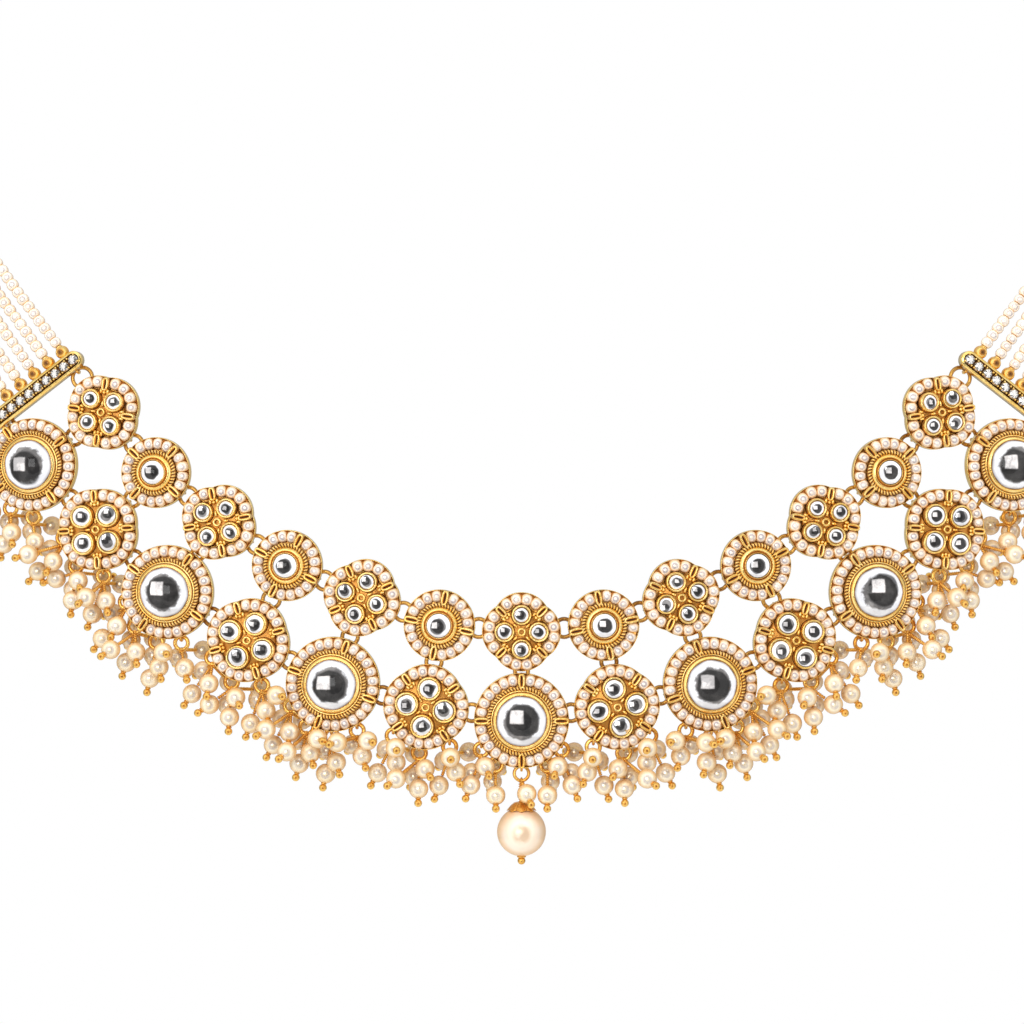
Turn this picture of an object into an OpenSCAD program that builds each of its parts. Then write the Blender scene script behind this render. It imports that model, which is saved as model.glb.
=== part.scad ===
// Kundan necklace: two rows of stone-set motifs linked with small rings, a fringe of
// pearls on jump rings, a jewelled bar at each end and six strands of seed beads a side
// that run round the neck to one clasp. It is shown as it hangs when worn: +Z is up, the
// front faces -Y, and the origin is the middle of the clasp's inner face, at the nape.

/* [Band] */
// Radius of the upright curve that the two rows follow, seen from above
band_radius = 450; // [400:10:700]
// Distance between motif centres along the lower row
lower_pitch = 19.2; // [19.2:0.05:19.4]
// Distance between motif centres along the upper row
upper_pitch = 16.4; // [16.4:0.05:16.6]
// Height of the middle upper motif above the middle lower one
row_gap = 17.7; // [17.6:0.05:18]
// Slope of the bars' outward direction above the horizontal
end_turn = 54; // [53:0.5:55]

/* [Settings] */
// Thickness of a motif's cast plate
plate_t = 1; // [0.8:0.1:1.1]
// Diameter of a big round setting
big_d = 19; // [18.8:0.1:19]
// Diameter of a small round setting
round_d = 14.3; // [14:0.1:14.3]
// Reach of a lower flower setting from its centre, over a stone
lower_flower_reach = 8.6; // [8.4:0.1:8.6]
// Reach of an upper flower setting from its centre, over a stone
upper_flower_reach = 7.9; // [7.8:0.1:7.9]
// Diameter of a seed bead
seed_d = 2.2; // [2:0.1:2.2]

/* [Stones] */
// Diameter of the big stones
big_stone_d = 10; // [9:0.1:10]
// Diameter of the stones in the small round settings
round_stone_d = 4.9; // [4:0.1:4.9]
// Diameter of the four stones in a lower flower
lower_stone_d = 3.5; // [3:0.1:3.5]
// Diameter of the four stones in an upper flower
upper_stone_d = 2.8; // [2.4:0.1:2.8]

/* [Pearls] */
// Diameter of a fringe pearl
pearl_d = 4; // [3.6:0.1:4]
// Diameter of the centre drop's pearl
drop_pearl_d = 9.8; // [9:0.1:9.8]

/* [Strands] */
// Number of strands on each side
strands = 6; // [6:1:6]
// Distance between strands at the bar
bar_pitch = 3.7; // [3.5:0.05:3.7]
// Distance between strands at the clasp
clasp_pitch = 2.6; // [2.5:0.05:2.7]

/* [Hidden] */
$fn = 32;
gold = [0.86, 0.64, 0.25];
glass = [0.62, 0.62, 0.66];
pearl_cream = [0.96, 0.89, 0.8];
bead_pink = [0.97, 0.9, 0.84];

// Headings of the links of each row above the horizontal, from the middle outward
lower_headings = [8, 13.5, 27, 30, 41, 43];
upper_headings = [4.5, 19.5, 23, 32, 37.5, 48];
last = len(lower_headings);

// The nape, measured from the back of the middle lower motif's plate
nape = [0, 86, 170];

// Wires and the soldered eyes that hold them, behind the plates
wire_r = 0.35;
eye_r = 0.85;
eye_wire_r = 0.3;
hook_depth = 0.75;
link_inset = 1.15;
hang_inset = 0.2;

// Settings
rim_t = 0.3;
rim_h = 1.9;
seed_r = seed_d / 2;
collar_h = plate_t + seed_d - 0.1;
rope_w = 0.7;
rope_h = 3.3;
seat_z = 1.5;
stone_gap = 0.05;
leaf_w = 1.3;
leaf_h = 3.5;
lower_flower_lobe = 7.2;
upper_flower_lobe = 5.9;
flower_hang_reach = 8.35;
cup_wall = 0.5;

// Jewelled bars
bar_length = 24.6;
bar_w = 3.7;
bar_t = 1.6;
bar_clear = 12.1;
bar_stones = 10;
bar_stone_pitch = 2.33;
bar_eye_x = 1.15;
strand_bead_r = 1.4;
strand_bead_x = 2.9;

// Pearl fringe: a jump ring hangs from each eye, and pins of pearls hang from the ring
jump_r = 1.35;
pin_r = 0.22;
// Pins of one ring differ a little in thickness, so that they cross cleanly
pin_step = 0.02;
pearl_r = pearl_d / 2;
pearl_bore_r = 0.38;
end_ball_r = 0.8;
ball_gap = 0.1;
hang_base = 4.9;
hang_extra = 0.6;
hang_push = 2.8;
hang_lean = 0.1;
fringe_depth = 2.35;
// The pearls of a ring: sideways toward the row's end, down, forward
low_front = [[-1.3, 0.8, fringe_depth], [1.3, -1.2, -fringe_depth]];
high_front = [[-1.3, -1.2, fringe_depth], [1.3, 0.8, -fringe_depth]];
beside_drop = [[0.6, -0.6, -fringe_depth], [-0.2, 1.7, fringe_depth]];
lowest = [[1.2, 3.3, 0]];
// The rings of each kind of motif: angle from the motif's outward side, pearls
big_hangs = [[-50, low_front], [-17, concat(low_front, lowest)],
             [17, concat(low_front, lowest)], [50, low_front]];
flower_hangs = [[-45, low_front], [0, high_front], [45, low_front]];
centre_hangs = [[34, beside_drop], [60, high_front]];

// Centre drop, measured down from its hinge
drop_jump_r = 1.45;
drop_pin_r = 0.4;
drop_bore_r = 0.5;
drop_pearl_z = -13.1;
drop_pearl_r = drop_pearl_d / 2;
coil_r = 0.6;
cap_top_z = -6.7;
cap_h = 2;
cap_d = 4.9;
cap_gap = 0.15;
drop_ball_r = 0.8;

// Strands: the middle of the six, from the bar round to the clasp, on the +X side
strand_r = 1.1;
strand_sides = 8;
strand_steps = 3;
strand_start = 4.4;
strand_route = [[112.6, -72.6, -84.4], [121.5, -69, -70], [128, -59, -46], [125, -45, -20],
                [109, -31, 1], [82, -18, 6], [52, -7, 6], [26, -1, 0], [8.3, 1.6, 0]];
clasp_size = [16, 3.2, 17];
clasp_tube_r = 2;

// Names of the nodes
function names(word, count) = [for (i = [1:count]) str(word, "_", i)];
big_names = names("big_setting", 7);
lower_flower_names = names("lower_flower_setting", 6);
upper_flower_names = names("upper_flower_setting", 7);
round_names = names("round_setting", 6);
big_stone_names = names("big_stone", 7);
left_strand_names = names("strand_left", strands);
right_strand_names = names("strand_right", strands);

// Places of the motifs: [distance along the band, height], i from -last to last
function along(pitch, headings, n) =
    n == 0 ? [0, 0]
           : along(pitch, headings, n - 1) + pitch * [cos(headings[n - 1]), sin(headings[n - 1])];
function sided(p, i) = [sign(i) * p.x, p.y];
function lower_at(i) = sided(along(lower_pitch, lower_headings, abs(i)), i);
function upper_at(i) = sided(along(upper_pitch, upper_headings, abs(i)), i) + [0, row_gap];
function turn_at(headings, i) =
    i == 0 ? 0
           : sign(i) * (abs(i) == last ? end_turn : (headings[abs(i) - 1] + headings[abs(i)]) / 2);
function lower_turn(i) = turn_at(lower_headings, i);
function upper_turn(i) = turn_at(upper_headings, i);
function yaw(s) = s * 180 / (PI * band_radius);
function direction(a) = [cos(a), sin(a)];
function bearing(v) = atan2(v.y, v.x);
function even(i) = abs(i) % 2 == 0;

big_index = [-6, -4, -2, 0, 2, 4, 6];
odd_index = [-5, -3, -1, 1, 3, 5];
big_r = big_d / 2;
round_r = round_d / 2;
bar_middle = (lower_at(last) + upper_at(last)) / 2 + bar_clear * direction(end_turn);
// Where the lower row's link meets the bar, in the bar's own frame; the upper one is opposite
half_span = (lower_at(last) - upper_at(last)) / 2;
bar_foot = [half_span * direction(end_turn), half_span * direction(end_turn + 90)];

// How far a motif's link eyes lie from its centre
function lower_eye(i) = (even(i) ? big_r : lower_flower_reach) - link_inset;
function upper_eye(i) = (even(i) ? upper_flower_reach : round_r) - link_inset;

// Lays children out at a place on the band: x along it, y up, z toward the viewer
module at_band(p) {
    a = yaw(p.x);
    translate([band_radius * sin(a), band_radius * (1 - cos(a)), p.y] - nape)
        rotate([0, 0, a])
            rotate([90, 0, 0])
                children();
}

module ring(r, wire) {
    rotate_extrude()
        translate([r, 0])
            circle(r = wire);
}

// Turns children so that their +Z points along v, and moves them to a place
module aim(place, v) {
    translate(place)
        rotate([0, acos(v.z / norm(v)), atan2(v.y, v.x)])
            children();
}

// A ball with a bore through it, along Z
module drilled_ball(r, bore) {
    rotate_extrude()
        difference() {
            circle(r = r);
            translate([bore - 2 * r, -r - 1])
                square([2 * r, 2 * r + 2]);
        }
}

// A pin from the origin up to a ball on its end
module ball_pin(length, r, ball) {
    rotate_extrude()
        intersection() {
            union() {
                square([r, length]);
                translate([0, length])
                    circle(r = ball);
            }
            square([2 * ball, length + 2 * ball]);
        }
}

// A soldered eye at a distance r from the centre, whose hole runs across the bearing
module link_eye(r, a) {
    rotate([0, 0, a])
        translate([r, 0, -hook_depth])
            rotate([90, 0, 0])
                ring(eye_r, eye_wire_r);
}

// A soldered eye at a place on the rim, whose hole runs level, turned back from the motif
module hang_eye(p, turn) {
    translate([p.x, p.y, -hook_depth])
        rotate([0, 0, -turn])
            rotate([0, 90, 0])
                ring(eye_r, eye_wire_r);
}

// A raised leaf that crosses the seed beads from the rope to the rim
module leaf(inner, outer, a) {
    rotate([0, 0, a])
        translate([inner, -leaf_w / 2, plate_t / 2])
            cube([outer - inner, leaf_w, leaf_h - plate_t / 2]);
}

// A round setting's section from the axis outward: seat, bezel, rope, seed collar and rim
module round_body(rim, bore) {
    seeds = rim - rim_t - seed_r - 0.05;
    rope = seeds - seed_r - 0.05;
    rotate_extrude()
        polygon([[0, 0], [rim, 0], [rim, rim_h], [rim - rim_t, rim_h],
                 [seeds + 0.8, collar_h - 0.6], [seeds + 0.4, collar_h],
                 [seeds - 0.4, collar_h], [seeds - 0.9, collar_h - 0.6],
                 [rope, collar_h - 0.8], [rope, rope_h], [rope - rope_w, rope_h],
                 [rope - rope_w, rope_h - 0.3], [bore + 0.5, rope_h + 1],
                 [bore, rope_h + 1], [bore, seat_z], [0, seat_z]]);
}

module round_setting_body(rim, stone_d) {
    bore = stone_d / 2 + stone_gap;
    round_body(rim, bore);
    for (a = [0:90:270])
        leaf(bore + 1.2, rim - 0.1, a);
}

// Four overlapping discs, the outline of a flower
module lobes(spread, r, z, h) {
    for (a = [0:90:270])
        rotate([0, 0, a])
            translate([spread, 0, z])
                cylinder(r = r, h = h);
}

module cup_places(offset) {
    for (a = [0:90:270])
        rotate([0, 0, a])
            translate([offset, 0, 0])
                children();
}

module flower_body(reach, lobe, stone_d, offset, cup_top) {
    spread = reach - lobe;
    bore = stone_d / 2 + stone_gap;
    inner = lobe - rim_t - seed_d - 0.1;
    difference() {
        union() {
            lobes(spread, lobe, 0, rim_h);
            lobes(spread, lobe - rim_t - 0.2, rim_h - 0.5, collar_h - rim_h + 0.5);
        }
        lobes(spread, inner, seat_z, collar_h);
    }
    difference() {
        cup_places(offset)
            translate([0, 0, plate_t / 2])
                cylinder(r = bore + cup_wall, h = cup_top - plate_t / 2);
        cup_places(offset)
            translate([0, 0, seat_z])
                cylinder(r = bore, h = cup_top);
    }
    cylinder(r = 0.9, h = cup_top - 0.8);
    for (a = [45:90:315])
        leaf(offset, lobe + spread / 2 - 0.25, a);
}

module big_setting(i) {
    turn = lower_turn(i);
    hangs = i == 0 ? concat(centre_hangs, [for (h = centre_hangs) [-h[0], h[1]]], [[0, []]]) : big_hangs;
    color(gold)
        at_band(lower_at(i))
            rotate([0, 0, turn]) {
                round_setting_body(big_r, big_stone_d);
                hang_eyes(hangs, big_r, turn, i);
                link_eyes(i, lower_at(i), turn, lower_eye(i), false);
            }
}

module lower_flower(i) {
    turn = lower_turn(i);
    color(gold)
        at_band(lower_at(i))
            rotate([0, 0, turn]) {
                flower_body(lower_flower_reach, lower_flower_lobe, lower_stone_d, 3.8, 3.9);
                hang_eyes(flower_hangs, flower_hang_reach, turn, i);
                link_eyes(i, lower_at(i), turn, lower_eye(i), false);
            }
}

module upper_flower(i) {
    turn = upper_turn(i);
    color(gold)
        at_band(upper_at(i))
            rotate([0, 0, turn]) {
                flower_body(upper_flower_reach, upper_flower_lobe, upper_stone_d, 3.4, 3.8);
                link_eyes(i, upper_at(i), turn, upper_eye(i), true);
            }
}

module round_setting(i) {
    turn = upper_turn(i);
    color(gold)
        at_band(upper_at(i))
            rotate([0, 0, turn]) {
                round_setting_body(round_r, round_stone_d);
                link_eyes(i, upper_at(i), turn, upper_eye(i), true);
            }
}

module hang_eyes(hangs, reach, turn, i) {
    side = i < 0 ? -1 : 1;
    for (h = hangs) {
        a = -90 + side * h[0];
        hang_eye((reach - hang_inset) * direction(a), turn);
    }
}

// The neighbours that a motif is linked to, in its own row and across
function neighbours(i, upper) = [
    if (abs(i - 1) <= last) upper ? upper_at(i - 1) : lower_at(i - 1),
    if (abs(i + 1) <= last) upper ? upper_at(i + 1) : lower_at(i + 1),
    upper ? lower_at(i) : upper_at(i)];

module link_eyes(i, place, turn, r, upper) {
    for (p = neighbours(i, upper))
        link_eye(r, bearing(p - place) - turn);
    if (abs(i) == last)
        link_eye(r, i > 0 ? 0 : 180);
}

// A link between two eyes is a round ring through both
module link(p, q, from, to) {
    v = q - p;
    length = norm(v) - from - to;
    middle = p + v / norm(v) * (from + length / 2);
    at_band(middle)
        translate([0, 0, -hook_depth])
            ring(length / 2, wire_r);
}

module row_links() {
    color(gold)
        for (i = [-last:last - 1]) {
            link(lower_at(i), lower_at(i + 1), lower_eye(i), lower_eye(i + 1));
            link(upper_at(i), upper_at(i + 1), upper_eye(i), upper_eye(i + 1));
        }
}

module cross_links() {
    color(gold) {
        for (i = [-last:last])
            link(lower_at(i), upper_at(i), lower_eye(i), upper_eye(i));
        for (i = [-last, last]) {
            out = [sign(i) * cos(end_turn), sin(end_turn)];
            link(lower_at(i), lower_at(i) + bar_clear * out, lower_eye(i), bar_eye_x);
            link(upper_at(i), upper_at(i) + bar_clear * out, upper_eye(i), bar_eye_x);
        }
    }
}

// Table-cut stone: a twelve-sided girdle under a slanted crown, seated in its cup
module cut_stone(d, rise) {
    r = d / 2;
    translate([0, 0, seat_z])
        rotate_extrude($fn = 12)
            polygon([[0, 0], [r, 0], [r, rise * 0.62], [r * 0.78, rise * 0.88],
                     [r * 0.45, rise], [0, rise]]);
}

module big_stone(i) {
    color(glass)
        at_band(lower_at(i))
            rotate([0, 0, lower_turn(i)])
                cut_stone(big_stone_d, 4.3);
}

module round_stones() {
    color(glass)
        for (i = odd_index)
            at_band(upper_at(i))
                rotate([0, 0, upper_turn(i)])
                    cut_stone(round_stone_d, 3.4);
}

module lower_flower_stones() {
    color(glass)
        for (i = odd_index)
            at_band(lower_at(i))
                rotate([0, 0, lower_turn(i)])
                    cup_places(3.8)
                        cut_stone(lower_stone_d, 2.7);
}

module upper_flower_stones() {
    color(glass)
        for (i = big_index)
            at_band(upper_at(i))
                rotate([0, 0, upper_turn(i)])
                    cup_places(3.4)
                        cut_stone(upper_stone_d, 2.6);
}

// A bar lies across the ends of both rows and carries the strands' end beads
module bar(side) {
    half = bar_length / 2 - bar_w / 2;
    color(gold)
        at_band([side * bar_middle.x, bar_middle.y])
            rotate([0, 0, side * end_turn])
                scale([side, 1, 1]) {
                    difference() {
                        union() {
                            translate([-bar_w / 2, -half, 0])
                                cube([bar_w, 2 * half, bar_t + 0.5]);
                            for (y = [-half, half])
                                translate([0, y, 0])
                                    cylinder(d = bar_w, h = bar_t + 0.5);
                        }
                        translate([-bar_w / 2 + 0.4, -half, bar_t])
                            cube([bar_w - 0.8, 2 * half, 1]);
                    }
                    for (k = [0:bar_stones - 1])
                        translate([0, (k - (bar_stones - 1) / 2) * bar_stone_pitch, bar_t - 0.2])
                            cylinder(r = 1.1, h = 1.1);
                    for (k = [0:strands - 1])
                        translate([strand_bead_x, (k - (strands - 1) / 2) * bar_pitch, bar_t / 2])
                            sphere(r = strand_bead_r);
                    for (foot = [bar_foot, -bar_foot])
                        translate([foot.x - bar_eye_x, foot.y, -hook_depth])
                            rotate([90, 0, 0])
                                ring(eye_r, eye_wire_r);
                }
}

// The fringe hangs plumb, so its places are worked out level: x outward along the row's
// side, y up, z toward the viewer, from the motif's centre
function hang_angle(i, h) = abs(lower_turn(i)) + h[0];
function motif_hangs(i) = i == 0 ? centre_hangs : even(i) ? big_hangs : flower_hangs;
function hang_reach(i) = (even(i) ? big_r : flower_hang_reach) - hang_inset;
function hang_point(i, h) = hang_reach(i) * [sin(hang_angle(i, h)), -cos(hang_angle(i, h))];
function pearl_place(i, h, p) =
    let (w = hang_angle(i, h),
         lean = w * hang_lean,
         drop = hang_base + hang_extra * cos(w),
         push = hang_push * pow(1 - cos(w), 2),
         flat = hang_point(i, h) + [0, -drop] + push * [sin(w), -cos(w)]
                + p[1] * [sin(lean), -cos(lean)] + p[0] * [cos(lean), sin(lean)])
    [flat.x, flat.y, p[2] - hook_depth];

// Runs children for each hanging ring of one side: the middle motif gives its half
module for_hangs(side) {
    for (i = [0:last])
        at_band(lower_at(side * i))
            scale([side, 1, 1])
                for (h = motif_hangs(i)) {
                    $motif = i;
                    $hang = h;
                    children();
                }
}

function ring_foot(i, h) = let (eye = hang_point(i, h)) [eye.x, eye.y - 2 * jump_r, -hook_depth];

module drop_wires(side) {
    color(gold)
        for_hangs(side) {
            foot = ring_foot($motif, $hang);
            union() {
                translate(foot + [0, jump_r, 0])
                    ring(jump_r, wire_r);
                for (k = [0:len($hang[1]) - 1]) {
                    way = pearl_place($motif, $hang, $hang[1][k]) - foot;
                    aim(foot, way)
                        ball_pin(norm(way) + pearl_r + end_ball_r + ball_gap,
                                 pin_r + k * pin_step, end_ball_r);
                }
            }
        }
}

module pearls(side) {
    color(pearl_cream)
        for_hangs(side)
            for (p = $hang[1]) {
                place = pearl_place($motif, $hang, p);
                aim(place, place - ring_foot($motif, $hang))
                    drilled_ball(pearl_r, pearl_bore_r);
            }
}

// The centre drop hangs on its own jump ring from the middle eye
module at_drop_hinge() {
    translate([0, hook_depth, hang_inset - big_r] - nape)
        children();
}

module centre_drop_wire() {
    ball_z = drop_pearl_z - drop_pearl_r - drop_ball_r - ball_gap;
    color(gold)
        at_drop_hinge() {
            translate([0, 0, -drop_jump_r])
                rotate([90, 0, 0])
                    ring(drop_jump_r, wire_r);
            translate([0, 0, -2 * drop_jump_r])
                mirror([0, 0, 1])
                    ball_pin(-ball_z - 2 * drop_jump_r, drop_pin_r, drop_ball_r);
            translate([0, 0, cap_top_z - 0.2])
                cylinder(r = coil_r, h = -2 * drop_jump_r - wire_r - cap_top_z + 0.3);
            difference() {
                translate([0, 0, cap_top_z - cap_h])
                    cylinder(d1 = cap_d, d2 = 1.6, h = cap_h);
                translate([0, 0, drop_pearl_z])
                    sphere(r = drop_pearl_r + cap_gap);
            }
        }
}

module centre_pearl() {
    color(pearl_cream)
        at_drop_hinge()
            translate([0, 0, drop_pearl_z])
                drilled_ball(drop_pearl_r, drop_bore_r);
}

// Strands: smooth curves through the route, spread across it by the strand's number
bar_yaw = yaw(bar_middle.x);
bar_point = [band_radius * sin(bar_yaw), band_radius * (1 - cos(bar_yaw)), bar_middle.y] - nape;
bar_out = [cos(end_turn) * cos(bar_yaw), cos(end_turn) * sin(bar_yaw), sin(end_turn)];
bar_across = [sin(end_turn) * cos(bar_yaw), sin(end_turn) * sin(bar_yaw), -cos(end_turn)];
bar_face = [sin(bar_yaw), -cos(bar_yaw), 0];
route = concat([bar_point + strand_start * bar_out + bar_t / 2 * bar_face], strand_route);
spans = len(route) - 1;
function unit(v) = v / norm(v);
// From one strand to the next at a knot, square to the route there
function spread_at(i) =
    let (t = i / spans,
         way = unit(route[min(i + 1, spans)] - route[max(i - 1, 0)]),
         fan = (1 - t) * bar_pitch * bar_across + t * clasp_pitch * [0, 0, -1])
    norm(fan) * unit(fan - (fan * way) * way);
function strand_knot(k, i) = route[i] + (k - (strands + 1) / 2) * spread_at(i);
function knot_clamped(k, i) =
    i < 0 ? 2 * strand_knot(k, 0) - strand_knot(k, 1)
          : i > spans ? 2 * strand_knot(k, spans) - strand_knot(k, spans - 1)
                      : strand_knot(k, i);
function smooth(a, b, c, d, t) =
    ((2 * b) + (c - a) * t + (2 * a - 5 * b + 4 * c - d) * t * t
     + (3 * b - a - 3 * c + d) * t * t * t) / 2;
function strand_path(k) = [
    for (i = [0:spans - 1], j = [0:strand_steps - 1])
        smooth(knot_clamped(k, i - 1), knot_clamped(k, i), knot_clamped(k, i + 1),
               knot_clamped(k, i + 2), j / strand_steps),
    strand_knot(k, spans)];

// A tube through the points of a path, with flat ends
module tube(path, r, sides) {
    n = len(path);
    points = [
        for (i = [0:n - 1])
            let (t = unit(path[min(i + 1, n - 1)] - path[max(i - 1, 0)]),
                 u = unit(cross(t, [0, 0, 1])),
                 v = cross(u, t))
            for (s = [0:sides - 1])
                path[i] + r * (cos(s * 360 / sides) * u + sin(s * 360 / sides) * v)];
    skin = [
        for (i = [0:n - 2], s = [0:sides - 1])
            let (a = i * sides + s, b = i * sides + (s + 1) % sides)
            each [[a, b, b + sides], [a, b + sides, a + sides]]];
    first = [for (s = [sides - 1:-1:0]) s];
    final = [for (s = [0:sides - 1]) (n - 1) * sides + s];
    polyhedron(points = points, faces = concat([first], skin, [final]));
}

module strand(k, side) {
    color(bead_pink)
        scale([side, 1, 1])
            tube(strand_path(k), strand_r, strand_sides);
}

module clasp() {
    color(gold) {
        translate([-clasp_size.x / 2, 0, -clasp_size.z / 2])
            cube(clasp_size);
        translate([0, clasp_tube_r + 0.3, -clasp_size.z / 2 - 0.5])
            cylinder(r = clasp_tube_r, h = clasp_size.z + 1);
    }
}

for (k = [0:6]) {
    big_setting(big_index[k]);
    upper_flower(big_index[k]);
    big_stone(big_index[k]);
}
for (k = [0:5]) {
    lower_flower(odd_index[k]);
    round_setting(odd_index[k]);
    strand(k + 1, -1);
    strand(k + 1, 1);
}
round_stones();
lower_flower_stones();
upper_flower_stones();
row_links();
cross_links();
bar(-1);  // bar_left
bar(1);  // bar_right
drop_wires(-1);  // drop_wires_left
drop_wires(1);  // drop_wires_right
pearls(-1);  // pearls_left
pearls(1);  // pearls_right
centre_drop_wire();
centre_pearl();
clasp();
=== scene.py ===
"""Looks of the kundan necklace: settings, foil-backed stones, seed beads, bars, strings of
beads, the pearl fringe and the centre drop, each worked out as a surface on a grid.
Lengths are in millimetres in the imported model's frame, and become metres in the meshes."""
import math

import bmesh
import bpy
import numpy as np
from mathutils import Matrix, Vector


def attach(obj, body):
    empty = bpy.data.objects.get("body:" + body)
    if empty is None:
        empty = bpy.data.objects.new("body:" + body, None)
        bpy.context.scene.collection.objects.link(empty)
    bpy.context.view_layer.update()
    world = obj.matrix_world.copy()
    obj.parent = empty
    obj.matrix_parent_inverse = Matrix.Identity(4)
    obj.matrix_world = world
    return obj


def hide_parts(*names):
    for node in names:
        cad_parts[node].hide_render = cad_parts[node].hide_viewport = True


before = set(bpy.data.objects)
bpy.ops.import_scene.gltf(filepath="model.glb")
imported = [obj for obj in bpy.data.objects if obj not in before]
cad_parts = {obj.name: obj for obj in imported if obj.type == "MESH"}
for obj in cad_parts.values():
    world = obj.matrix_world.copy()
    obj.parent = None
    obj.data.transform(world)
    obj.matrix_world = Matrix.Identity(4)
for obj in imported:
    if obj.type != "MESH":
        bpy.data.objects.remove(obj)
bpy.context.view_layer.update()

MM = 0.001
TAU = 2 * math.pi
rng = np.random.default_rng(11)


# Places on the necklace

BAND_R = 450.0
LOWER_PITCH, UPPER_PITCH, ROW_GAP, END_TURN = 19.2, 16.4, 17.7, 54.0
LOWER_HEADINGS = np.radians([8, 13.5, 27, 30, 41, 43])
UPPER_HEADINGS = np.radians([4.5, 19.5, 23, 32, 37.5, 48])
LAST = 6
NAPE = np.array([0.0, 86.0, 170.0])
HOOK_DEPTH, LINK_INSET, HANG_INSET = 0.75, 1.15, 0.2
# Outer radius of each kind of setting, and of a flower's four lobes
REACH = {"big": 9.5, "round": 7.15, "lower": 8.6, "upper": 7.9}
LOBE = {"lower": 7.2, "upper": 5.9}
FLOWER_HANG_REACH = 8.35
CAMERA_AT, FRONT = np.array([-1.9, -661.0, -128.4]), np.array([0.0, -1.0, 0.0])
MIRROR = np.diag([-1.0, 1, 1])
# Axes of rings that stand in the plane of x and z, and in the plane of y and z
UPRIGHT = np.array([[1, 0, 0], [0, 0, -1], [0, 1, 0.0]])
SIDEWAYS = np.array([[0, 0, 1], [0, 1, 0], [-1, 0, 0.0]])


def motif_kind(row, i):
    """Big rounds and flowers take turns in the lower row, flowers and small rounds above."""
    kinds = ("big", "lower") if row == "lower" else ("upper", "round")
    return kinds[i % 2]


def motif_place(row, i):
    """[distance along the band, height] of motif i: pitch times the sum of its headings."""
    pitch, headings, up = ((LOWER_PITCH, LOWER_HEADINGS, 0.0) if row == "lower"
                           else (UPPER_PITCH, UPPER_HEADINGS, ROW_GAP))
    h = headings[:abs(i)]
    return np.array([np.sign(i) * pitch * np.cos(h).sum(), pitch * np.sin(h).sum() + up])


def motif_turn(row, i):
    """Turn in the band's plane, in degrees: halfway between the headings on either side."""
    h = np.degrees(LOWER_HEADINGS if row == "lower" else UPPER_HEADINGS)
    if i == 0:
        return 0.0
    k = abs(i)
    return float(np.sign(i) * (END_TURN if k == LAST else (h[k - 1] + h[k]) / 2))


def band(p):
    """(axes as columns, origin) at a place on the band: x along it, y up, z to the front."""
    a = p[0] / BAND_R
    axes = np.array([[math.cos(a), 0, math.sin(a)], [math.sin(a), 0, -math.cos(a)], [0, 1, 0]])
    origin = np.array([BAND_R * math.sin(a), BAND_R * (1 - math.cos(a)), p[1]]) - NAPE
    return axes, origin


def motif_band(row, i):
    """The band's (axes, origin) at motif i."""
    return band(motif_place(row, i))


def turned(angle):
    """Rotation about z by an angle in degrees."""
    c, s = math.cos(math.radians(angle)), math.sin(math.radians(angle))
    return np.array([[c, -s, 0], [s, c, 0], [0, 0, 1.0]])


def direction(angle):
    """Unit vector in the plane at an angle in degrees: its cosine and its sine."""
    return np.array([math.cos(math.radians(angle)), math.sin(math.radians(angle))])


def bearing(v):
    """Angle of a plane vector, in degrees."""
    return math.degrees(math.atan2(v[1], v[0]))


def unit(v):
    """Vectors cut or drawn out to length 1."""
    return v / np.linalg.norm(v, axis=-1, keepdims=True)


def axes_along(v, hint=(0.0, 0.0, 1.0)):
    """Right-handed axes as columns whose z runs along v, with x square to the hint too."""
    z = unit(np.asarray(v, float))
    x = unit(np.cross(np.broadcast_to(hint, z.shape), z))
    return np.stack([x, np.cross(z, x), z], -1)


# Surfaces on grids

def add_to_scene(obj):
    """Links an object into the scene."""
    bpy.context.scene.collection.objects.link(obj)
    return obj


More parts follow.
